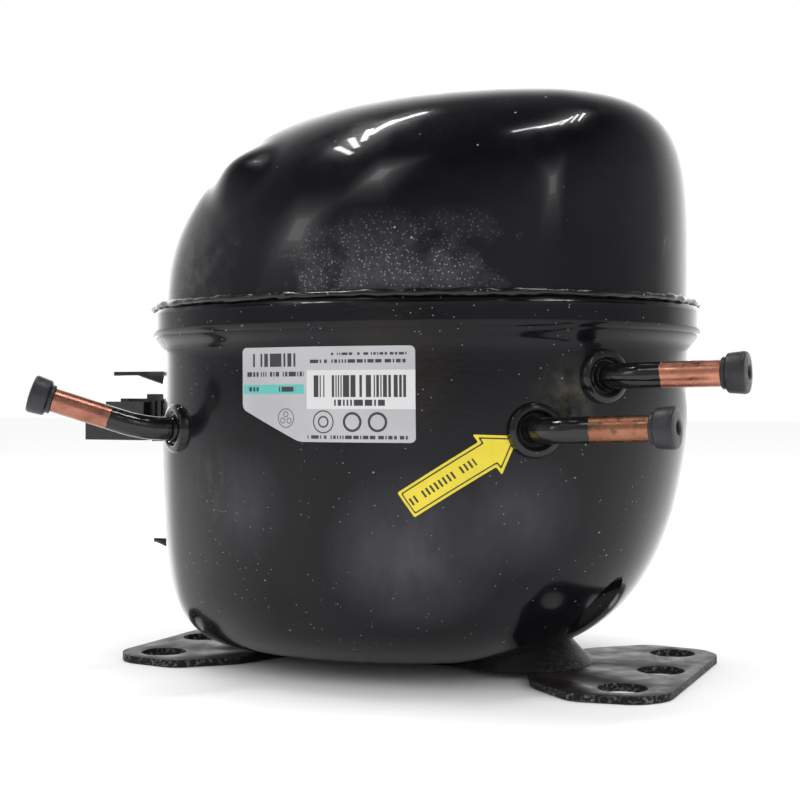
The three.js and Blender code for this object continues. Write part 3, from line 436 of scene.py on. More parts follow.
def stub_collar(name):
    """Stepped ring brazed round the foot of a stub, with a soft run of enamel."""
    collar, outward, *_ = stub_course(name)
    deselect()
    bpy.ops.mesh.primitive_cylinder_add(vertices=48, radius=8.2 * MM, depth=3 * MM)
    piece = started(f"{name}_hub")
    pick(piece, lambda at: at.z > 1 * MM, "FACE")
    bpy.ops.mesh.inset(thickness=1.2 * MM, depth=0.5 * MM)
    bpy.ops.mesh.inset(thickness=0.9 * MM, depth=0)
    bpy.ops.mesh.inset(thickness=0.9 * MM, depth=-1.5 * MM)
    bpy.ops.mesh.inset(thickness=0.6 * MM, depth=0.2 * MM)
    bpy.ops.mesh.inset(thickness=0.6 * MM, depth=1.9 * MM)
    pick(piece, lambda at: abs(at.z + 1.5 * MM) < 0.1 * MM)
    bpy.ops.transform.resize(value=(1.10, 1.10, 1))
    bpy.ops.mesh.select_all(action="DESELECT")
    leave_edit()
    bevel(piece, 0.35 * MM, 2, 25)
    smooth(piece, 2)
    apply_all(piece)
    point_along(piece, collar - outward * 1.2 * MM, outward)
    return piece


def stub_plug(name):
    """Rubber transport plug: a stem in the bore, a short neck and a flared head with a blind hole."""
    _, _, corner, onward, length = stub_course(name)
    deselect()
    bpy.ops.mesh.primitive_cylinder_add(vertices=48, radius=3.0 * MM, depth=STEM_LENGTH)
    piece = started(f"{name}_cap")
    pick(piece, lambda at: at.z > STEM_LENGTH / 2 - 0.1 * MM, "FACE")
    middle = {"center_override": (0, 0, 0)}
    bpy.ops.mesh.extrude_region_move(TRANSFORM_OT_translate={"value": (0, 0, 0.2 * MM)})
    bpy.ops.transform.resize(value=(1.62, 1.62, 1), **middle)
    for rise, wider in ((1.2 * MM, 0.97), (0.5 * MM, 1.26), (4.9 * MM, 1.07), (0.8 * MM, 0.95)):
        bpy.ops.mesh.extrude_region_move(TRANSFORM_OT_translate={"value": (0, 0, rise)})
        bpy.ops.transform.resize(value=(wider, wider, 1), **middle)
    bpy.ops.mesh.inset(thickness=3.4 * MM, depth=0.5 * MM)
    bpy.ops.mesh.inset(thickness=0.6 * MM, depth=-0.3 * MM)
    bpy.ops.mesh.extrude_region_move(TRANSFORM_OT_translate={"value": (0, 0, -4 * MM)})
    leave_edit()
    bevel(piece, 0.45 * MM, 3, 25)
    apply_all(piece)
    point_along(piece, corner + onward * (length - PLUG_MIDDLE - STEM_LENGTH / 2), onward)
    return piece


# ---------- base plate ----------
PLATE = 2.5 * MM
QUARTER = [(44, 8), (54, 34), (72, 50), (94, 47), (101, 38)]     # outline of one quarter, in mm
QUARTERS = [(1, -1), (1, 1), (-1, 1), (-1, -1)]
HOLES = [(85, -35), (89, 0), (85, 35)]
HOLE_RADIUS = 8 * MM


def sheet_from(name, points, rounding):
    """A flat sheet with rounded corners, from a ring of points on the ground."""
    deselect()
    bpy.ops.mesh.primitive_circle_add(vertices=len(points), radius=1, fill_type="NGON")
    piece = started(name)
    mesh = bmesh.from_edit_mesh(piece.data)
    mesh.verts.ensure_lookup_table()
    for vertex, (x, y) in zip(mesh.verts, points):
        vertex.co = Vector((x, y, 0))
    bmesh.update_edit_mesh(piece.data)
    bpy.ops.mesh.select_all(action="SELECT")
    bpy.ops.mesh.bevel(offset=rounding, segments=5, affect="VERTICES")
    return piece


def base_plate():
    """Stamped plate: two feet joined by a strip under the shell, with three bolt holes in each foot."""
    outline = []
    for sx, sy in QUARTERS:
        quarter = [(sx * x * MM, sy * y * MM) for x, y in QUARTER]
        outline += quarter[::-1] if sx * sy > 0 else quarter
    piece = sheet_from("stamped_base", outline, 4 * MM)
    bpy.ops.mesh.select_all(action="SELECT")
    bpy.ops.mesh.extrude_region_move(TRANSFORM_OT_translate={"value": (0, 0, PLATE)})
    leave_edit()
    face_out(piece)
    for side in (-1, 1):
        for x, y in HOLES:
            deselect()
            bpy.ops.mesh.primitive_cylinder_add(vertices=72, radius=HOLE_RADIUS, depth=4 * PLATE,
                                                location=(side * x * MM, y * MM, PLATE / 2))
            tool = bpy.context.object
            boolean(piece, tool)
    bevel(piece, 0.4 * MM, 2, 35)
    apply_all(piece)
    return piece


BOSS_X = 39 * MM                     # from the middle of the plate
BOSS_SPREAD = (26 * MM, 25 * MM)     # radii of its foot, along and across
BOSS_TAPER = 0.58
BOSS_HEIGHT = 12 * MM
BOSS_SUNK = 0.4 * MM                 # how far its foot lies in the plate


def boss(name, side):
    """Conical boss, pressed up from a foot to carry the shell."""
    deselect()
    bpy.ops.mesh.primitive_cone_add(vertices=72, radius1=1, radius2=BOSS_TAPER, depth=BOSS_HEIGHT,
                                    end_fill_type="NGON", location=(0, 0, 0))
    piece = started(name)
    bpy.ops.mesh.select_all(action="SELECT")
    bpy.ops.transform.resize(value=(*BOSS_SPREAD, 1), center_override=(0, 0, 0))
    bpy.ops.transform.translate(value=(side * BOSS_X, 0, PLATE - BOSS_SUNK + BOSS_HEIGHT / 2))
    leave_edit()
    face_out(piece)
    bevel(piece, 1.2 * MM, 4, 30)
    apply_all(piece)
    return piece


# ---------- electrical end ----------
def blocks(name, boxes, rounding):
    """Cubes drawn to their corners and fused into one body with eased edges."""
    whole = None
    for low, high in boxes:
        deselect()
        bpy.ops.mesh.primitive_cube_add(size=1)
        piece = started(name)
        bpy.ops.mesh.select_all(action="SELECT")
        bpy.ops.transform.resize(value=[b - a for a, b in zip(low, high)], center_override=(0, 0, 0))
        bpy.ops.transform.translate(value=[(a + b) / 2 for a, b in zip(low, high)])
        leave_edit()
        if whole is None:
            whole = piece
        else:
            boolean(whole, piece, "UNION")
    bevel(whole, rounding, 3, 40)
    apply_all(whole)
    return whole


STARTER_LOW, STARTER_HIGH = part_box("starter_block")
NECK_LENGTH = 9 * MM
BODY_TOP = STARTER_HIGH.z - 2.5 * MM


def starter():
    """Socket block: a wide body, a ribbed neck, a latch on top and a row of lead slots in its outer face."""
    back = STARTER_HIGH.x - NECK_LENGTH
    low, high = STARTER_LOW, STARTER_HIGH
    mid = (low.y + high.y) / 2
    boxes = [((low.x, low.y, low.z + 0.4 * MM), (back, high.y, BODY_TOP - 5 * MM)),
             ((low.x + 9 * MM, low.y + 0.5 * MM, low.z + 2 * MM),
              (back, high.y - 0.5 * MM, BODY_TOP - 0.4 * MM)),
             ((back - 1 * MM, mid - 10 * MM, low.z + 0.7 * MM), (high.x, mid + 10 * MM, BODY_TOP - 0.7 * MM))]
    for step in range(3):
        start = back + (1.5 + 2.6 * step) * MM
        boxes.append(((start, mid - 11 * MM, low.z), (start + 1.3 * MM, mid + 11 * MM, BODY_TOP)))
    boxes.append(((back - 4 * MM, mid - 6 * MM, BODY_TOP - 2 * MM), (back + 0.4 * MM, mid + 6 * MM, high.z)))
    boxes.append(((low.x + 12 * MM, mid - 9 * MM, BODY_TOP - 2 * MM),
                  (back - 10 * MM, mid + 9 * MM, BODY_TOP + 0.8 * MM)))
    piece = blocks("starter_body", boxes, 0.5 * MM)
    for across in (-8 * MM, 0, 8 * MM):
        deselect()
        bpy.ops.mesh.primitive_cube_add(size=1, location=(low.x, mid + across, (low.z + BODY_TOP) / 2))
        tool = started("slot")
        bpy.ops.mesh.select_all(action="SELECT")
        bpy.ops.transform.resize(value=(8 * MM, 4.5 * MM, 7 * MM))
        leave_edit()
        boolean(piece, tool)
    return piece


def guard_tab(name, node, wing_reach, wing_drop):
    """Bent sheet tab: a flat tongue between two wedge-shaped side wings, with eased sheared edges."""
    low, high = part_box(node)
    root = SHELL_X - HALF_LENGTH + 2 * MM
    thick = 1.5 * MM
    whole = blocks(name, [((low.x, low.y, high.z - thick), (root, high.y, high.z))], 0.01 * MM)
    for y in (low.y, high.y - thick):
        deselect()
        bpy.ops.mesh.primitive_cube_add(size=1)
        wing = started("wing")
        bpy.ops.mesh.select_all(action="SELECT")
        bpy.ops.transform.resize(value=(wing_reach + 4 * MM, thick, wing_drop), center_override=(0, 0, 0))
        bpy.ops.transform.translate(value=(root - (wing_reach + 4 * MM) / 2, y + thick / 2,
                                           high.z - wing_drop / 2))
        pick(wing, lambda at: at.x < root - wing_reach and at.z < high.z - wing_drop + 0.1 * MM)
        bpy.ops.transform.translate(value=(0, 0, wing_drop - thick))
        leave_edit()
        boolean(whole, wing, "UNION")
    bevel(whole, 0.3 * MM, 2, 30)
    apply_all(whole)
    return whole


PIN_CIRCLE = 5 * MM                  # radius on which the three pins stand


def terminal():
    """Glass-sealed three-pin terminal in its pressed steel cup."""
    low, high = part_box("hermetic_terminal")
    deselect()
    bpy.ops.mesh.primitive_cylinder_add(vertices=64, radius=12 * MM, depth=6 * MM)
    piece = started("terminal_cup")
    pick(piece, lambda at: at.z > 1 * MM, "FACE")
    bpy.ops.mesh.inset(thickness=2 * MM, depth=0.8 * MM)
    bpy.ops.mesh.inset(thickness=0.8 * MM, depth=-2.2 * MM)
    leave_edit()
    for turn in (90, 210, 330):
        deselect()
        bpy.ops.mesh.primitive_cylinder_add(vertices=24, radius=1.2 * MM, depth=22 * MM,
                                            location=(PIN_CIRCLE * sin(radians(turn)),
                                                      PIN_CIRCLE * cos(radians(turn)), 0))
        pin = bpy.context.object
        place_in_mesh(pin)
        boolean(piece, pin, "UNION")
    bevel(piece, 0.3 * MM, 2, 30)
    apply_all(piece)
    point_along(piece, Vector((low.x + 11 * MM, SHELL_Y, (low.z + high.z) / 2)), Vector((-1, 0, 0)))
    return piece


def earth_screw():
    """Small hexagon-washer screw with a driver slot."""
    low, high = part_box("earth_screw")
    deselect()
    bpy.ops.mesh.primitive_cylinder_add(vertices=6, radius=3.3 * MM, depth=2.4 * MM)
    piece = started("screw_head")
    pick(piece, lambda at: at.z > 1 * MM, "FACE")
    bpy.ops.mesh.inset(thickness=0.6 * MM, depth=0.4 * MM)
    pick(piece, lambda at: at.z < -1 * MM, "FACE")
    bpy.ops.mesh.inset(thickness=1.2 * MM, depth=0)
    bpy.ops.mesh.extrude_region_move(TRANSFORM_OT_translate={"value": (0, 0, -3.5 * MM)})
    leave_edit()
    deselect()
    bpy.ops.mesh.primitive_cube_add(size=1, location=(0, 0, 1.4 * MM))
    tool = started("driver_slot")
    bpy.ops.mesh.select_all(action="SELECT")
    bpy.ops.transform.resize(value=(8 * MM, 0.9 * MM, 1.4 * MM))
    leave_edit()
    boolean(piece, tool)
    bevel(piece, 0.2 * MM, 2, 30)
    apply_all(piece)
    point_along(piece, Vector((low.x + 1.7 * MM, SHELL_Y, (low.z + high.z) / 2)), Vector((-1, 0, 0)))
    return piece


# ---------- what gives between the shell and the hung motor ----------
SPRING_TURNS = 4
SPRING_WIRE = 0.9 * MM               # radius
LEAD_RADIUS = 1.6 * MM


def hung_spring(number):
    """Coil spring, its foot on its seat and its head under the motor."""
    low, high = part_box(f"spring_{number}")
    middle = (low + high) / 2
    deselect()
    bpy.ops.mesh.primitive_circle_add(vertices=16, radius=SPRING_WIRE, fill_type="NOTHING")
    piece = started(f"coil_{number}")
    leave_edit()
    coil_radius = (high.x - low.x) / 2 - SPRING_WIRE
    piece.matrix_world = Matrix.Translation((coil_radius, 0, 0)) @ Matrix.Rotation(pi / 2, 4, "X")
    place_in_mesh(piece)
    coil = piece.modifiers.new("coil", "SCREW")
    coil.screw_offset = (high.z - low.z - 2 * SPRING_WIRE) / SPRING_TURNS
    coil.iterations = SPRING_TURNS
    coil.steps = coil.render_steps = 40
    apply_all(piece)
    bpy.ops.object.mode_set(mode="EDIT")
    bpy.ops.mesh.select_all(action="SELECT")
    bpy.ops.mesh.fill_holes(sides=0)
    leave_edit()
    piece.matrix_world = Matrix.Translation((middle.x, middle.y, low.z + SPRING_WIRE))
    place_in_mesh(piece)
    face_out(piece)
    return piece


def motor_lead():
    """Lead from its connector up over the top of the motor."""
    plug_low, plug_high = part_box("lead_connector")
    core_low, core_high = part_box("stator_core")
    winding_low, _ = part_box("upper_winding")
    plug = (plug_low + plug_high) / 2
    core_y = (core_low.y + core_high.y) / 2
    spots = [(plug_high.x + 1.5 * MM, plug.y, plug.z + 4 * MM),
             (plug_high.x + 5 * MM, plug.y, plug.z + 8 * MM),
             (core_low.x - 2 * MM, core_y, core_high.z + 5 * MM),
             (winding_low.x - 6 * MM, core_y, core_high.z + 5.5 * MM)]
    deselect()
    bpy.ops.curve.primitive_bezier_curve_add(location=(0, 0, 0))
    course = bpy.context.object
    spline = course.data.splines[0]
    spline.bezier_points.add(2)
    for point, spot in zip(spline.bezier_points, spots):
        point.co = spot
        point.handle_left_type = point.handle_right_type = "AUTO"
    course.data.resolution_u = 16
    course.data.bevel_depth = LEAD_RADIUS
    course.data.bevel_resolution = 6
    course.data.use_fill_caps = True
    bpy.ops.object.convert(target="MESH")
    piece = bpy.context.object
    piece.name = "lead"
    face_out(piece)
    return piece, spots


# ---------- stickers ----------
LABEL_LOW, LABEL_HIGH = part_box("rating_label")
LABEL_CUT_Z = LABEL_LOW.z + 10.2 * MM
LABEL_CUT_X = LABEL_LOW.x + 22 * MM
ARROW_LOW, ARROW_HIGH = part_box("arrow_sticker")
SLICE = 1.5 * MM                     # films are cut along the same planes, so that stacked ones stay apart
SLICES_ALONG = range(-20, 45)        # these reach past both films, in steps of a slice
SLICES_UP = range(35, 75)


def sticker(name, outline, rounding, lift, shell):
    """Cuts a film to its outline, slices it finely and wraps it onto the front of the bowl."""
    piece = sheet_from(name, outline, rounding)
    for steps, across in ((SLICES_ALONG, Vector((1, 0, 0))), (SLICES_UP, Vector((0, 1, 0)))):
        for step in steps:
            bpy.ops.mesh.select_all(action="SELECT")
            bpy.ops.mesh.bisect(plane_co=across * step * SLICE, plane_no=across)
    leave_edit()
    piece.matrix_world = Matrix.Translation((0, -0.12, 0)) @ Matrix.Rotation(pi / 2, 4, "X")
    place_in_mesh(piece)
    wrap = piece.modifiers.new("wrap", "SHRINKWRAP")
    wrap.target = shell
    wrap.wrap_method = "PROJECT"
    wrap.use_project_y = True
    wrap.use_positive_direction = True
    wrap.use_negative_direction = False
    wrap.wrap_mode = "ABOVE_SURFACE"
    wrap.offset = lift
    apply_all(piece)
    face_out_towards_front(piece)
    film = piece.modifiers.new("film", "SOLIDIFY")
    film.thickness = 0.12 * MM
    film.offset = 1
    apply_all(piece)
    return piece


def face_out_towards_front(piece):
    """Turns a sheet so that its faces look forward."""
    total = sum((face.normal.y * face.area for face in piece.data.polygons))
    if total > 0:
        piece.data.flip_normals()


def label_outline():
    low, high = LABEL_LOW, LABEL_HIGH
    return [(low.x, LABEL_CUT_Z), (LABEL_CUT_X, low.z), (high.x, low.z), (high.x, high.z), (low.x, high.z)]


def arrow_outline(inset):
    """Arrow from its tail up to its tip, with its whole outline moved inwards by the inset."""
    tail = Vector((ARROW_LOW.x + 2.1 * MM, ARROW_LOW.z + 4.3 * MM))
    tip = Vector((ARROW_HIGH.x, ARROW_HIGH.z - 0.4 * MM))
    along = (tip - tail).normalized()
    across = Vector((-along.y, along.x))
    neck = tip - along * 10.5 * MM
    shaft = across * 4.5 * MM
    head = across * 7.3 * MM
    corners = [tail - shaft, neck - shaft, neck - head, tip, neck + head, neck + shaft, tail + shaft]
    moved = []
    for before, corner, after in zip(corners[-1:] + corners[:-1], corners, corners[1:] + corners[:1]):
        arriving = (corner - before).normalized()
        leaving = (after - corner).normalized()
        inwards = Vector((-arriving.y, arriving.x))
        middle = inwards + Vector((-leaving.y, leaving.x))
        moved.append(tuple(corner + middle * inset / middle.dot(inwards)))
    return moved


# ---------- finishes ----------
class Finish:
    """A material with its Principled shader and the pattern nodes that feed it."""

    def __init__(self, name):
        self.material = bpy.data.materials.new(name)
        self.material.use_nodes = True
        self.tree = self.material.node_tree
        self.shader = next(node for node in self.tree.nodes if node.type == "BSDF_PRINCIPLED")
        self.spot = self.tree.nodes.new("ShaderNodeTexCoord").outputs["Object"]

    def link(self, source, target):
        self.tree.links.new(source, target)

    def fixed(self, **values):
        """Sets plain values on the shader's own sockets."""
        for name, value in values.items():
            self.shader.inputs[name.replace("_", " ")].default_value = value

    def noise(self, grain, detail=4, roughness=0.55, stretch=(1, 1, 1), offset=(0, 0, 0)):
        """Cloudy pattern with features about `grain` millimetres across."""
        mapping = self.tree.nodes.new("ShaderNodeMapping")
        mapping.inputs["Scale"].default_value = stretch
        mapping.inputs["Location"].default_value = offset
        self.link(self.spot, mapping.inputs["Vector"])
        node = self.tree.nodes.new("ShaderNodeTexNoise")
        node.inputs["Scale"].default_value = 1000 / grain
        node.inputs["Detail"].default_value = detail
        node.inputs["Roughness"].default_value = roughness
        self.link(mapping.outputs["Vector"], node.inputs["Vector"])
        return node.outputs["Fac"]

    def cells(self, pitch, feature="F1"):
        node = self.tree.nodes.new("ShaderNodeTexVoronoi")
        node.feature = feature
        node.inputs["Scale"].default_value = 1000 / pitch
        self.link(self.spot, node.inputs["Vector"])
        return node.outputs["Distance"]

    def ramp(self, source, *stops):
        """Colour ramp; a stop is a place and a grey level or colour."""
        node = self.tree.nodes.new("ShaderNodeValToRGB")
        while len(node.color_ramp.elements) < len(stops):
            node.color_ramp.elements.new(1)
        for element, (place, level) in zip(node.color_ramp.elements, stops):
            element.position = place
            element.color = (*level, 1) if isinstance(level, tuple) else (level, level, level, 1)
        self.link(source, node.inputs["Fac"])
        return node.outputs["Color"]

    def math(self, operation, first, second=None, third=None):
        node = self.tree.nodes.new("ShaderNodeMath")
        node.operation = operation
        for socket, value in zip(node.inputs, (first, second, third)):
            if isinstance(value, (int, float)):
                socket.default_value = value
            elif value is not None:
                self.link(value, socket)
        return node.outputs["Value"]

    def blend(self, amount, below, above, mode="MIX"):
        node = self.tree.nodes.new("ShaderNodeMix")
        node.data_type = "RGBA"
        node.blend_type = mode
        if isinstance(amount, (int, float)):
            node.inputs["Factor"].default_value = amount
        else:
            self.link(amount, node.inputs["Factor"])
        for socket, value in ((node.inputs["A"], below), (node.inputs["B"], above)):
            if isinstance(value, tuple):
                socket.default_value = (*value, 1)
            else:
                self.link(value, socket)
        return node.outputs["Result"]

    def place(self):
        """The object coordinates in metres, split into x, y and z."""
        node = self.tree.nodes.new("ShaderNodeSeparateXYZ")
        self.link(self.spot, node.inputs["Vector"])
        return node.outputs["X"], node.outputs["Y"], node.outputs["Z"]

    def near(self, middle, reach):
        """1 at a place, fading to 0 at a distance."""
        node = self.tree.nodes.new("ShaderNodeVectorMath")
        node.operation = "DISTANCE"
        self.link(self.spot, node.inputs[0])
        node.inputs[1].default_value = middle
        fade = self.tree.nodes.new("ShaderNodeMapRange")
        fade.inputs["From Min"].default_value = reach
        fade.inputs["From Max"].default_value = reach * 0.2
        self.link(node.outputs["Value"], fade.inputs["Value"])
        return fade.outputs["Result"]

    def between(self, value, low, high, soft):
        """1 while a value lies between two limits, with soft ends."""
        rise = self.tree.nodes.new("ShaderNodeMapRange")
        rise.inputs["From Min"].default_value = low - soft
        rise.inputs["From Max"].default_value = low
        fall = self.tree.nodes.new("ShaderNodeMapRange")
        fall.inputs["From Min"].default_value = high + soft
        fall.inputs["From Max"].default_value = high
        self.link(value, rise.inputs["Value"])
        self.link(value, fall.inputs["Value"])
        return self.math("MULTIPLY", rise.outputs["Result"], fall.outputs["Result"])

    def colour(self, source):
        self.link(source, self.shader.inputs["Base Color"])

    def rough(self, source):
        self.link(source, self.shader.inputs["Roughness"])

    def relief(self, height, depth):
        """Bump whose highest point stands about `depth` millimetres out."""
        node = self.tree.nodes.new("ShaderNodeBump")
        node.inputs["Distance"].default_value = depth * MM
        node.inputs["Strength"].default_value = 1
        self.link(height, node.inputs["Height"])
        self.link(node.outputs["Normal"], self.shader.inputs["Normal"])


def specks(finish, pitch, size, grain, share):
    """Scattered round specks: cells whose centre lies where a cloudy mask is high."""
    dots = finish.ramp(finish.cells(pitch), (size * 0.6, 1.0), (size, 0.0))
    patches = finish.ramp(finish.noise(grain, 2), (share, 0.0), (share + 0.04, 1.0))
    return finish.math("MULTIPLY", dots, patches)


def enamel(name, gloss, dust):
    """Baked black enamel with faint orange peel, hazy rub marks and settled dust."""
    finish = Finish(name)
    finish.fixed(Specular_IOR_Level=0.12, Coat_Weight=1.0, Coat_IOR=1.36, Coat_Roughness=0.06)
    haze = finish.ramp(finish.noise(34, 3), (0.38, 0.0), (0.72, 1.0))
    base = finish.blend(haze, (0.0035, 0.0036, 0.0042), (0.010, 0.0100, 0.0112))
    grit = specks(finish, 2.6, 0.13, 19, 0.545)
    lint = specks(finish, 8.5, 0.06, 60, 0.44)
    dirt = finish.math("MULTIPLY", finish.math("MAXIMUM", grit, lint), dust)
    finish.colour(finish.blend(dirt, base, (0.20, 0.195, 0.18)))
    clouds = finish.noise(14, 5)
    finish.rough(finish.ramp(clouds, (0.3, gloss), (0.75, gloss + 0.13)))
    peel = finish.noise(2.4, 2)
    finish.relief(finish.math("ADD", finish.math("MULTIPLY", peel, 0.35), dirt), 0.05)
    return finish


def dome_enamel():
    """Enamel of the dome: weld spatter and crust near its rim, lightened in part as painted glints and sheen,
    a brown patch on its dented shoulder and a soft painted reflection on its left.
    """
    finish = Finish("glossy_black_enamel")
    finish.fixed(Specular_IOR_Level=0.10, Coat_Weight=1.0, Coat_IOR=1.28, Coat_Roughness=0.05)
    x, y, z = finish.place()
    haze = finish.ramp(finish.noise(30, 3), (0.38, 0.0), (0.72, 1.0))
    base = finish.blend(haze, (0.0018, 0.0020, 0.0034), (0.0058, 0.0060, 0.0084))
    # brownish patch in the hollow of the dented shoulder
    brown_patch = finish.math("MULTIPLY", finish.near((SHELL_X - 74 * MM, SHELL_Y - 20 * MM, 176 * MM), 42 * MM),
                        finish.ramp(finish.noise(9, 4), (0.3, 0.25), (0.7, 1.0)))
    base = finish.blend(brown_patch, base, (0.050, 0.030, 0.026))
    front = finish.near((SHELL_X + 18 * MM, SHELL_Y - 78 * MM, 136 * MM), 40 * MM)
    left = finish.near((SHELL_X - 62 * MM, SHELL_Y - 60 * MM, 136 * MM), 30 * MM)
    band = finish.between(z, 120 * MM, 132 * MM, 22 * MM)
    thick = finish.ramp(finish.math("ADD", finish.math("MULTIPLY", front, 0.46), finish.noise(13, 4)),
                        (0.62, 0.0), (0.84, 1.0))
    dots = finish.ramp(finish.cells(1.1), (0.10, 1.0), (0.30, 0.0))
    spatter_and_glints = finish.math("MULTIPLY", finish.math("MULTIPLY", dots, thick), band)
    sparse = specks(finish, 6.0, 0.075, 34, 0.50)
    spatter_and_glints = finish.math("MAXIMUM", spatter_and_glints, finish.math("MULTIPLY", sparse, 0.8))
    # soft pale patch on the left of the dome: a painted reflection
    painted_reflection_left = finish.math("MULTIPLY", left, finish.ramp(finish.noise(5, 5), (0.4, 0.0), (0.65, 0.5)))
    base = finish.blend(painted_reflection_left, base, (0.055, 0.055, 0.058))
    # paler field between the spatter dots: weld crust, lightened as painted sheen
    crust_and_sheen = finish.math("MULTIPLY", finish.math("MULTIPLY", thick, band), finish.noise(2.0, 5))
    base = finish.blend(crust_and_sheen, base, (0.075, 0.070, 0.078))
    # light grey spatter dots: real weld spatter, lightened further as painted glints
    finish.colour(finish.blend(spatter_and_glints, base, (0.30, 0.29, 0.30)))
    finish.rough(finish.ramp(finish.math("ADD", finish.math("MULTIPLY", painted_reflection_left, 0.6), finish.noise(12, 5)),
                             (0.35, 0.16), (0.8, 0.34)))
    peel = finish.noise(3.2, 2)
    waves = finish.noise(42, 1)
    rugged = finish.math("MULTIPLY", finish.math("MULTIPLY", finish.noise(1.5, 3), thick), band)
    height = finish.math("ADD", finish.math("MULTIPLY", peel, 0.12), finish.math("MULTIPLY", waves, 2.2))
    height = finish.math("ADD", height, finish.math("MULTIPLY", rugged, 4.0))
    finish.relief(finish.math("ADD", height, finish.math("MULTIPLY", spatter_and_glints, 1.5)), 0.13)
    return finish


# pale patches painted into the bowl's colour as soft reflections
REFLECTION_PATCHES = [(26, -72, 44, 30, 0.55), (58, -60, 58, 22, 0.35),
             (-34, -72, 60, 20, 0.30)]                # place and reach in mm, strength


def bowl_enamel():
    """Enamel of the bowl: settled dust, a dusty smear by the service tubes, soft pale patches painted as
    reflections and a warm painted reflection.
    """
    finish = Finish("satin_black_enamel")
    finish.fixed(Specular_IOR_Level=0.12, Coat_Weight=1.0, Coat_IOR=1.21, Coat_Roughness=0.10)
    x, y, z = finish.place()
    haze = finish.ramp(finish.noise(38, 4, stretch=(1, 1, 0.45)), (0.36, 0.0), (0.72, 1.0))
    base = finish.blend(haze, (0.0012, 0.0014, 0.0024), (0.0052, 0.0056, 0.0078))
    smear = finish.math("MULTIPLY", finish.near((SHELL_X + 71 * MM, SHELL_Y - 52 * MM, 95 * MM), 13 * MM),
                        finish.ramp(finish.noise(5, 5), (0.38, 0.0), (0.7, 0.9)))
    base = finish.blend(smear, base, (0.060, 0.056, 0.040))
    drip = finish.math("MULTIPLY", finish.near((SHELL_X - 48 * MM, SHELL_Y - 72 * MM, 66 * MM), 18 * MM),
                       finish.ramp(finish.noise(4, 5, stretch=(1, 1, 0.4)), (0.45, 0.0), (0.75, 0.7)))
    base = finish.blend(drip, base, (0.050, 0.048, 0.042))
    # soft pale patches painted as reflections on the front of the bowl
    for x_spot, y_spot, z_spot, reach, strength in REFLECTION_PATCHES:
        place = (SHELL_X + x_spot * MM, SHELL_Y + y_spot * MM, z_spot * MM)
        painted_glow = finish.math("MULTIPLY", finish.near(place, reach * MM),
                             finish.noise(10, 4, stretch=(1, 1, 0.5)))
        base = finish.blend(finish.math("MULTIPLY", painted_glow, strength * 2.6), base, (0.052, 0.052, 0.062))
    # warm brownish patch high on the front of the bowl: a painted reflection
    warm_reflection_spot = (SHELL_X + 20 * MM, SHELL_Y - 76 * MM, 101 * MM)
    warm_reflection = finish.math("MULTIPLY", finish.near(warm_reflection_spot, 24 * MM), 0.5)
    base = finish.blend(warm_reflection, base, (0.026, 0.016, 0.014))
    grit = specks(finish, 2.3, 0.10, 16, 0.47)
    lint = specks(finish, 8.0, 0.05, 50, 0.40)
    dirt = finish.math("MAXIMUM", grit, lint)
    finish.colour(finish.blend(dirt, base, (0.27, 0.265, 0.25)))
    finish.rough(finish.ramp(finish.noise(16, 5), (0.32, 0.15), (0.78, 0.30)))
    peel = finish.noise(2.6, 2)
    waves = finish.noise(46, 1, stretch=(1, 1, 0.5))
    rugged = finish.math("MULTIPLY", finish.near((SHELL_X + 22 * MM, SHELL_Y - 77 * MM, 113 * MM), 42 * MM),
                         finish.noise(1.7, 3, stretch=(0.5, 0.5, 1)))
    height = finish.math("ADD", finish.math("MULTIPLY", peel, 0.20), finish.math("MULTIPLY", waves, 2.4))
    height = finish.math("ADD", height, finish.math("MULTIPLY", rugged, 2.2))
    finish.relief(finish.math("ADD", height, dirt), 0.10)
    return finish


def weld_metal():
    """Enamelled weld: black over ripples, with light grey flecks painted as glints."""
    finish = Finish("enamelled_weld")
    finish.fixed(Specular_IOR_Level=0.12, Coat_Weight=1.0, Coat_IOR=1.36, Coat_Roughness=0.10)
    # light grey flecks painted as glints on the weld
    glint_flecks = specks(finish, 1.9, 0.20, 8, 0.52)
    base = finish.ramp(finish.noise(6, 5), (0.4, (0.002, 0.002, 0.003)), (0.72, (0.010, 0.009, 0.008)))
    finish.colour(finish.blend(glint_flecks, base, (0.20, 0.19, 0.18)))
    finish.rough(finish.ramp(finish.noise(3, 4), (0.3, 0.08), (0.8, 0.30)))
    ripple = finish.noise(2.2, 4, stretch=(1, 1, 0.6))
    finish.relief(finish.math("ADD", ripple, finish.math("MULTIPLY", glint_flecks, 0.6)), 0.5)
    return finish


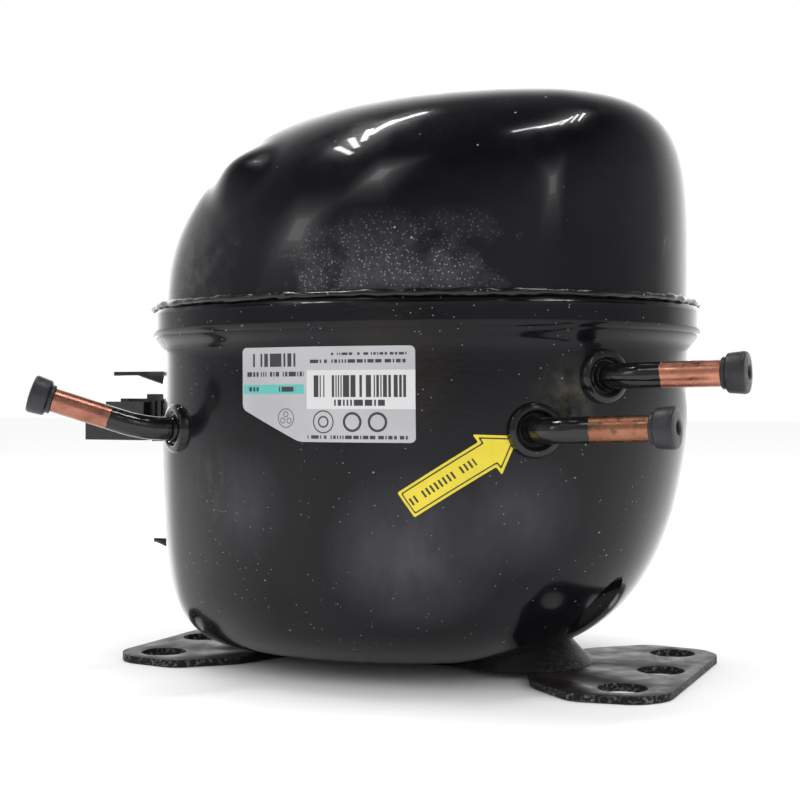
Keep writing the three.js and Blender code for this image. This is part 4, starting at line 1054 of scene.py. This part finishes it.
def stub_metal(name, clean, tarnish, patch, patina):
    """Bare copper at the end of a stub, run over with black enamel nearer the shell."""
    finish = Finish(name)
    edge = finish.tree.nodes.new("ShaderNodeAttribute")
    edge.attribute_name = "bare"
    ragged = finish.math("MULTIPLY", finish.math("SUBTRACT", finish.noise(3.5, 3), 0.5), 1.6)
    past = finish.math("ADD", edge.outputs["Fac"], ragged)
    bare = finish.math("GREATER_THAN", past, 0.0)
    metal = finish.ramp(finish.noise(6, 5, stretch=(0.5, 1, 1)),
                        (0.34, clean), (0.62, tarnish), (0.80, patch))
    stains = finish.math("MULTIPLY", finish.ramp(finish.noise(3, 4), (0.52, 0.0), (0.66, 1.0)), patina)
    metal = finish.blend(stains, metal, (0.075, 0.085, 0.050))
    finish.colour(finish.blend(bare, (0.005, 0.005, 0.006), metal))
    finish.link(bare, finish.shader.inputs["Metallic"])
    worn = finish.ramp(finish.noise(2.5, 4), (0.3, 0.22), (0.8, 0.46))
    painted = finish.ramp(finish.noise(5, 3), (0.3, 0.08), (0.8, 0.20))
    finish.rough(finish.blend(bare, painted, worn))
    drawn = finish.noise(0.7, 2, stretch=(0.12, 1, 1))
    runs = finish.math("MULTIPLY", finish.noise(7, 1), 4.0)
    finish.relief(finish.math("ADD", finish.math("MULTIPLY", drawn, 0.25),
                              finish.math("MULTIPLY", finish.math("SUBTRACT", 1.0, bare), runs)), 0.10)
    return finish


def moulded(name, dark, light, low, high, grain, depth, scuff=0.0):
    """Moulded rubber or plastic: mottled tone, fine grain and a few pale scuffs."""
    finish = Finish(name)
    tone = finish.ramp(finish.noise(grain * 8, 4), (0.35, dark), (0.7, light))
    pale = tuple(min(1.0, level * 3 + 0.04) for level in light)
    marks = finish.ramp(finish.noise(grain * 3, 5, stretch=(1, 1, 0.3)), (0.60, 0.0), (0.70, scuff))
    finish.colour(finish.blend(marks, tone, pale))
    finish.rough(finish.ramp(finish.noise(grain * 5, 3), (0.3, low), (0.75, high)))
    finish.relief(finish.noise(grain, 3), depth)
    return finish


def base_steel():
    """Stamped steel with a thin dark coat, brown smudges and bright sheared edges; its upright faces and hole
    walls are painted darker as shade.
    """
    finish = Finish("stamped_steel")
    finish.fixed(Metallic=0.15, Specular_IOR_Level=0.10)
    geometry = finish.tree.nodes.new("ShaderNodeNewGeometry")
    split = finish.tree.nodes.new("ShaderNodeSeparateXYZ")
    finish.link(geometry.outputs["Normal"], split.inputs["Vector"])
    upright = finish.math("ABSOLUTE", split.outputs["Z"])
    edge = finish.ramp(upright, (0.25, 1.0), (0.9, 0.0))
    x, _, _ = finish.place()
    feet = finish.ramp(finish.math("MULTIPLY", finish.math("ABSOLUTE", x), 10), (0.52, 0.08), (0.60, 1.0))
    scuffed = finish.math("MULTIPLY", edge, finish.ramp(finish.noise(1.2, 5), (0.50, 0.0), (0.66, 0.8)))
    scuffed = finish.math("MULTIPLY", scuffed, feet)
    base = finish.ramp(finish.noise(15, 6), (0.30, (0.014, 0.012, 0.012)), (0.52, (0.030, 0.027, 0.026)),
                       (0.78, (0.080, 0.073, 0.070)))
    streaks = finish.ramp(finish.noise(2.2, 5, stretch=(0.3, 1, 1)), (0.56, 0.0), (0.68, 0.5))
    rub = finish.math("MULTIPLY", streaks, 0.7)
    base = finish.blend(rub, base, (0.085, 0.080, 0.078))
    # upright faces and hole walls painted darker: painted shade
    base = finish.blend(edge, base, (0.014, 0.013, 0.014))
    finish.colour(finish.blend(scuffed, base, (0.16, 0.155, 0.155)))
    finish.rough(finish.ramp(finish.noise(7, 5), (0.3, 0.36), (0.75, 0.60)))
    finish.relief(finish.noise(1.6, 5), 0.05)
    return finish


def metal(name, dark, light, low, high, grain, depth, stretch=(1, 1, 1)):
    """Bare or plated metal with tonal variation and a directional grain."""
    finish = Finish(name)
    finish.fixed(Metallic=1.0)
    finish.colour(finish.ramp(finish.noise(grain * 9, 5), (0.3, dark), (0.7, light)))
    finish.rough(finish.ramp(finish.noise(grain * 4, 4), (0.3, low), (0.75, high)))
    finish.relief(finish.noise(grain, 4, stretch=stretch), depth)
    return finish


def patch(finish, x, z, left, right, low, high):
    """1 inside a rectangle on the front of the bowl; sizes in millimetres."""
    across = finish.math("COMPARE", x, (left + right) / 2 * MM, (right - left) / 2 * MM)
    up = finish.math("COMPARE", z, (low + high) / 2 * MM, (high - low) / 2 * MM)
    return finish.math("MULTIPLY", across, up)


def ring_mark(finish, x, z, middle_x, middle_z, radius, line):
    """A printed circle on the front of the bowl."""
    dx = finish.math("SUBTRACT", x, middle_x * MM)
    dz = finish.math("SUBTRACT", z, middle_z * MM)
    square = finish.math("ADD", finish.math("MULTIPLY", dx, dx), finish.math("MULTIPLY", dz, dz))
    far = finish.math("SQRT", square)
    return finish.math("COMPARE", far, radius * MM, line * MM)


def strokes(finish, x, pitch, fill, width=1.0):
    """Upright bars on an even pitch, of which some are left out; narrower ones stand apart."""
    node = finish.tree.nodes.new("ShaderNodeTexWhiteNoise")
    node.noise_dimensions = "1D"
    cell = finish.math("FLOOR", finish.math("MULTIPLY", x, 1 / (pitch * MM)))
    finish.link(cell, node.inputs["W"])
    bars = finish.math("LESS_THAN", node.outputs["Value"], fill)
    within = finish.math("FRACT", finish.math("MULTIPLY", x, 1 / (pitch * MM)))
    apart = finish.math("LESS_THAN", within, width)
    return finish.math("MULTIPLY", bars, apart)


def label_print():
    """Silver-grey film printed with a colour band, a bar field, plain rings and dashes."""
    finish = Finish("printed_film")
    finish.fixed(Specular_IOR_Level=0.5, Metallic=0.0)
    x, _, z = finish.place()
    tone = finish.ramp(finish.noise(30, 4), (0.3, (0.37, 0.365, 0.385)), (0.75, (0.46, 0.452, 0.475)))
    tone = finish.blend(patch(finish, x, z, -28.7, -5.2, 95.6, 98.6), tone, (0.10, 0.42, 0.39))
    tone = finish.blend(patch(finish, x, z, -4.2, 31.6, 90.9, 103.0), tone, (0.60, 0.59, 0.595))
    ink = finish.math("MULTIPLY", patch(finish, x, z, -2.4, 28.6, 94.6, 101.4), strokes(finish, x, 0.42, 0.5))
    marks = [
        (-24.8, -7.6, 104.2, 108.4, 0.75, 0.62), (-27.2, -5.2, 101.1, 102.6, 0.45, 0.6),
        (-26.4, -22.2, 96.4, 97.8, 0.45, 0.6), (-15.6, -8.4, 96.3, 97.9, 0.5, 0.65),
        (5.0, 22.0, 91.9, 93.8, 0.6, 0.6), (-3.0, 29.0, 105.2, 106.3, 0.5, 0.55),
        (-4.0, 29.0, 81.6, 82.7, 0.45, 0.55), (2.0, 29.0, 107.6, 108.4, 0.4, 0.45),
    ]
    for left, right, low, high, pitch, fill in marks:
        row = finish.math("MULTIPLY", patch(finish, x, z, left, right, low, high),
                          strokes(finish, x, pitch, fill))
        ink = finish.math("MAXIMUM", ink, row)
    rings = [(-11.9, 88.0, 2.9, 0.13), (1.6, 86.9, 3.4, 0.2), (1.6, 86.9, 1.6, 0.25), (11.4, 86.9, 2.7, 0.4),
             (19.6, 86.9, 2.7, 0.4), (-11.9, 89.2, 0.8, 0.12), (-13.1, 87.2, 0.8, 0.12),
             (-10.7, 87.2, 0.8, 0.12)]
    for middle_x, middle_z, radius, line in rings:
        ink = finish.math("MAXIMUM", ink, ring_mark(finish, x, z, middle_x, middle_z, radius, line))
    finish.colour(finish.blend(ink, tone, (0.030, 0.030, 0.036)))
    finish.rough(finish.ramp(finish.noise(9, 3), (0.3, 0.28), (0.75, 0.42)))
    finish.relief(finish.noise(5, 3), 0.05)
    return finish


def arrow_film(name, colour, printed):
    """Sticker vinyl; the printed sheet carries a row of plain dashes along the arrow."""
    finish = Finish(name)
    worn = tuple(level * 0.82 for level in colour)
    tone = finish.ramp(finish.noise(8, 4), (0.3, colour), (0.8, worn))
    if printed:
        mapping = finish.tree.nodes.new("ShaderNodeMapping")
        mapping.vector_type = "TEXTURE"
        mapping.inputs["Location"].default_value = (ARROW_LOW.x, 0, ARROW_LOW.z)
        mapping.inputs["Rotation"].default_value = (0, -radians(33.5), 0)
        finish.link(finish.spot, mapping.inputs["Vector"])
        split = finish.tree.nodes.new("ShaderNodeSeparateXYZ")
        finish.link(mapping.outputs["Vector"], split.inputs["Vector"])
        along, up = split.outputs["X"], split.outputs["Z"]
        ink = finish.math("MULTIPLY", patch(finish, along, up, 6, 29, 1.0, 3.4),
                          strokes(finish, along, 1.5, 0.85, 0.45))
        tone = finish.blend(ink, tone, (0.02, 0.02, 0.02))
    finish.colour(tone)
    finish.rough(finish.ramp(finish.noise(4, 3), (0.3, 0.30), (0.8, 0.46)))
    finish.relief(finish.noise(2, 2), 0.02)
    return finish


DOME_FINISH = dome_enamel().material
BOWL_FINISH = bowl_enamel().material
WELD_FINISH = weld_metal().material
SMALL_ENAMEL = enamel("small_part_enamel", 0.10, 0.35).material
RUBBER = moulded("plug_rubber", (0.010, 0.0105, 0.013), (0.019, 0.020, 0.024), 0.36, 0.56, 0.6, 0.03,
                 0.2).material
BLACK_PLASTIC = moulded("black_plastic", (0.010, 0.010, 0.012), (0.018, 0.018, 0.021), 0.38, 0.55, 0.5, 0.02,
                        0.12).material
CREAM_PLASTIC = moulded("cream_plastic", (0.62, 0.57, 0.44), (0.74, 0.69, 0.57), 0.40, 0.55, 0.6,
                        0.02).material
STEEL_SHEET = base_steel().material
FILM = label_print().material
ARROW_BLACK = arrow_film("arrow_border", (0.02, 0.02, 0.02), False).material
ARROW_YELLOW = arrow_film("arrow_edge", (0.74, 0.60, 0.025), False).material
ARROW_FACE = arrow_film("arrow_face", (0.74, 0.60, 0.025), True).material
STUB_METALS = {
    "process": stub_metal("bright_copper", (0.60, 0.27, 0.185), (0.50, 0.205, 0.135),
                          (0.33, 0.14, 0.095), 0.2),
    "suction": stub_metal("stained_copper", (0.38, 0.165, 0.10), (0.27, 0.115, 0.07),
                          (0.13, 0.07, 0.045), 0.8),
    "discharge": stub_metal("brown_copper", (0.42, 0.185, 0.13), (0.33, 0.135, 0.095),
                            (0.20, 0.09, 0.06), 0.3),
}

TERMINAL_STEEL = metal("terminal_steel", (0.34, 0.33, 0.32), (0.55, 0.54, 0.52), 0.25, 0.45, 0.6, 0.02)
SCREW_BRASS = metal("screw_brass", (0.50, 0.36, 0.15), (0.72, 0.55, 0.26), 0.22, 0.42, 0.5, 0.02)
SPRING = metal("spring_steel", (0.28, 0.28, 0.30), (0.46, 0.46, 0.48), 0.22, 0.40, 0.4, 0.01)

# ---------- exterior pieces ----------
upper = dome()
done(upper, DOME_FINISH, "black_enamel", "shell", "upper_shell", angle=50)
lower = scooped(bowl())
done(lower, BOWL_FINISH, "black_enamel", "shell", "lower_shell", angle=38)
bead = weld()
done(bead, WELD_FINISH, "black_enamel", "shell", "weld_bead", angle=60)

for name in STUBS:
    tube = stub_tube(name)
    done(tube, STUB_METALS[name].material, "copper", "shell", f"{name}_tube", angle=60)
    hub = stub_collar(name)
    done(hub, SMALL_ENAMEL, "black_enamel", "shell", f"{name}_collar", angle=40)
    cap = stub_plug(name)
    done(cap, RUBBER, "plug_rubber", f"{name}_cap", f"{name}_plug", angle=40)

done(base_plate(), STEEL_SHEET, "bare_steel", "shell", "base_plate", angle=30)
for label, side in (("left", -1), ("right", 1)):
    done(boss(f"{label}_boss", side), STEEL_SHEET, "bare_steel", "shell", angle=50)

done(starter(), BLACK_PLASTIC, "black_plastic", "starter", "starter_block", angle=30)
done(guard_tab("upper_tab", "upper_guard_tab", 14 * MM, 7 * MM), SMALL_ENAMEL, "black_enamel", "shell",
     "upper_guard_tab", angle=30)
done(guard_tab("lower_tab", "lower_guard_tab", 6 * MM, 5 * MM), SMALL_ENAMEL, "black_enamel", "shell",
     "lower_guard_tab", angle=30)
done(terminal(), TERMINAL_STEEL.material, "plain_steel", "shell", "hermetic_terminal", angle=30)
done(earth_screw(), SCREW_BRASS.material, "brass_screw", "shell", "earth_screw", angle=30)

for number in range(1, 5):
    spring = hung_spring(number)
    done(spring, SPRING.material, "spring_steel", None, f"spring_{number}", angle=60)
    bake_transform(spring)
lead, course = motor_lead()
done(lead, CREAM_PLASTIC, "cream_plastic", None, "motor_lead", angle=60)
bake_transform(lead)

label = sticker("printed_label", label_outline(), 1.6 * MM, 0.10 * MM, lower)
done(label, FILM, "label_film", "shell", "rating_label", angle=40)
ARROW_FILMS = [("arrow_base", 0.0, 0.10, ARROW_YELLOW), ("arrow_line", 0.8, 0.20, ARROW_BLACK),
               ("arrow_front", 1.2, 0.30, ARROW_FACE)]     # name, inset and lift in mm, finish
for name, inset, lift, finish in ARROW_FILMS:
    film = sticker(name, arrow_outline(inset * MM), 0.5 * MM, lift * MM, lower)
    done(film, finish, "yellow_film", "shell", "arrow_sticker", angle=40)

# ---------- finishes of the pieces inside ----------
LAMINATED = metal("laminated_steel", (0.17, 0.175, 0.20), (0.30, 0.31, 0.34), 0.32, 0.5, 0.5, 0.06,
                  (0.02, 0.02, 1))
WIRE = metal("enamelled_wire", (0.30, 0.12, 0.05), (0.52, 0.24, 0.10), 0.22, 0.42, 0.7, 0.25, (0.15, 0.15, 1))
IRON = metal("grey_iron", (0.17, 0.17, 0.175), (0.31, 0.31, 0.315), 0.40, 0.62, 0.8, 0.05)
MACHINED = metal("machined_steel", (0.42, 0.42, 0.43), (0.62, 0.62, 0.63), 0.18, 0.36, 0.5, 0.012,
                 (1, 1, 0.1))
ALUMINIUM = metal("cast_aluminium", (0.52, 0.53, 0.54), (0.70, 0.71, 0.72), 0.34, 0.52, 0.9, 0.05)
BRASS = metal("cap_brass", (0.50, 0.36, 0.15), (0.72, 0.55, 0.26), 0.22, 0.42, 0.5, 0.02)
DRAWN_COPPER = metal("drawn_copper", (0.58, 0.30, 0.19), (0.74, 0.40, 0.27), 0.22, 0.40, 0.5, 0.015)
GASKET = moulded("pressed_fibre", (0.10, 0.16, 0.13), (0.17, 0.25, 0.20), 0.7, 0.9, 0.5, 0.04)
INSIDE = [
    (LAMINATED.material, ["stator_core", "rotor_core"]),
    (WIRE.material, ["upper_winding", "lower_winding"]),
    (IRON.material, ["crankcase", "piston_and_yoke"]),
    (ALUMINIUM.material, ["upper_end_ring", "lower_end_ring", "cylinder_head"]),
    (MACHINED.material, ["thrust_washer", "crankshaft", "oil_pickup", "slide_block", "valve_plate",
                         "spring_seat_*", "head_bolt_*", "motor_bolt_*"]),
    (SPRING.material, ["suction_reed", "discharge_reed"]),
    (BRASS.material, ["yoke_oil_cap"]),
    (DRAWN_COPPER.material, ["discharge_line"]),
    (GASKET.material, ["head_gasket"]),
    (CREAM_PLASTIC, ["suction_muffler"]),
    (BLACK_PLASTIC, ["discharge_muffler", "lead_connector"]),
]
for finish, names in INSIDE:
    for node, piece in frame["nodes"].items():
        if any(fnmatch(node, name) for name in names):
            for place in piece.material_slots:
                place.material = finish

# ---------- floor, light and camera ----------
deselect()
bpy.ops.mesh.primitive_plane_add(size=12, location=(0, 0, -0.0002))
floor = bpy.context.object
floor.name = "floor"
pale = Finish("pale_floor")
pale.fixed(Base_Color=(0.98, 0.98, 0.98, 1), Roughness=0.9)
floor.data.materials.append(pale.material)

world = bpy.data.worlds.new("studio")
bpy.context.scene.world = world
world.use_nodes = True
surround = world.node_tree.nodes["Background"]
surround.inputs["Color"].default_value = (1, 1, 1, 1)
connect = world.node_tree.links.new


def world_node(kind):
    return world.node_tree.nodes.new(f"ShaderNode{kind}")


def between_levels(source, start, end, first, last):
    """Strength that runs from the first level to the last as a source goes from start to end."""
    node = world_node("MapRange")
    for socket, value in zip(("From Min", "From Max", "To Min", "To Max"), (start, end, first, last)):
        node.inputs[socket].default_value = value
    connect(source, node.inputs["Value"])
    return node.outputs["Result"]


ray = world_node("LightPath")
heading = world_node("TexCoord").outputs["Generated"]
split = world_node("SeparateXYZ")
towards = world_node("VectorMath")
towards.operation = "DOT_PRODUCT"
towards.inputs[1].default_value = (-0.40, 0.92, 0)
room = world_node("Math")
room.operation = "MULTIPLY"
seen = world_node("Mix")             # the gloss sees the room, all else sees white
seen.inputs["A"].default_value = 1.0
connect(heading, split.inputs["Vector"])
connect(heading, towards.inputs[0])
horizon_to_ceiling = between_levels(split.outputs["Z"], 0.30, 0.80, 1.0, 0.10)
near_to_far_side = between_levels(towards.outputs["Value"], 0.2, 0.9, 0.50, 2.2)
connect(horizon_to_ceiling, room.inputs[0])
connect(near_to_far_side, room.inputs[1])
connect(room.outputs["Value"], seen.inputs["B"])
connect(ray.outputs["Is Glossy Ray"], seen.inputs["Factor"])
connect(seen.outputs["Result"], surround.inputs["Strength"])
bpy.context.scene.view_settings.view_transform = "Standard"


def softbox(name, place, aim_at, width, height, watts):
    deselect()
    bpy.ops.object.light_add(type="AREA", location=place)
    lamp = bpy.context.object
    lamp.name = name
    lamp.data.shape = "RECTANGLE"
    lamp.data.size = width
    lamp.data.size_y = height
    lamp.data.energy = watts
    towards = Vector(aim_at) - Vector(place)
    lamp.rotation_euler = towards.to_track_quat("-Z", "Y").to_euler()


MIDDLE = (0, 0, 0.1)
for k in range(7):                   # panels one in front of another fade out towards the edges
    share = 1 - 0.13 * k
    nearer = 0.01 * k
    softbox(f"left_box_{k}", (-0.80 + nearer, -0.95 + nearer, 0.62), MIDDLE, 0.50 * share, 0.90 * share, 0.14)
    softbox(f"front_box_{k}", (-0.30, -0.80 + nearer, 1.00), MIDDLE, 0.36 * share, 0.60 * share, 0.10)
    softbox(f"right_box_{k}", (0.95 - nearer, -0.80, 0.80), MIDDLE, 0.40 * share, 0.90 * share, 0.12)
for group, x in (("left", -0.62), ("right", 0.30)):
    for k in range(5):
        softbox(f"{group}_bar_{k}", (x + 0.05 * k, -0.22 + 0.11 * k, 1.25), MIDDLE, 0.26, 0.030, 0.8)

CAMERA_PLACE = Vector((0.2052, -0.4910, 0.0937))
CAMERA_AZIMUTH = radians(23.36)
FOCAL_SHARE = 1472 / 800             # focal length over the picture's width
deselect()
bpy.ops.object.camera_add(location=CAMERA_PLACE, rotation=(pi / 2, 0, CAMERA_AZIMUTH))
camera = bpy.context.object
camera.data.sensor_width = 36
camera.data.lens = 36 * FOCAL_SHARE
camera.data.clip_start = 0.01
bpy.context.scene.camera = camera
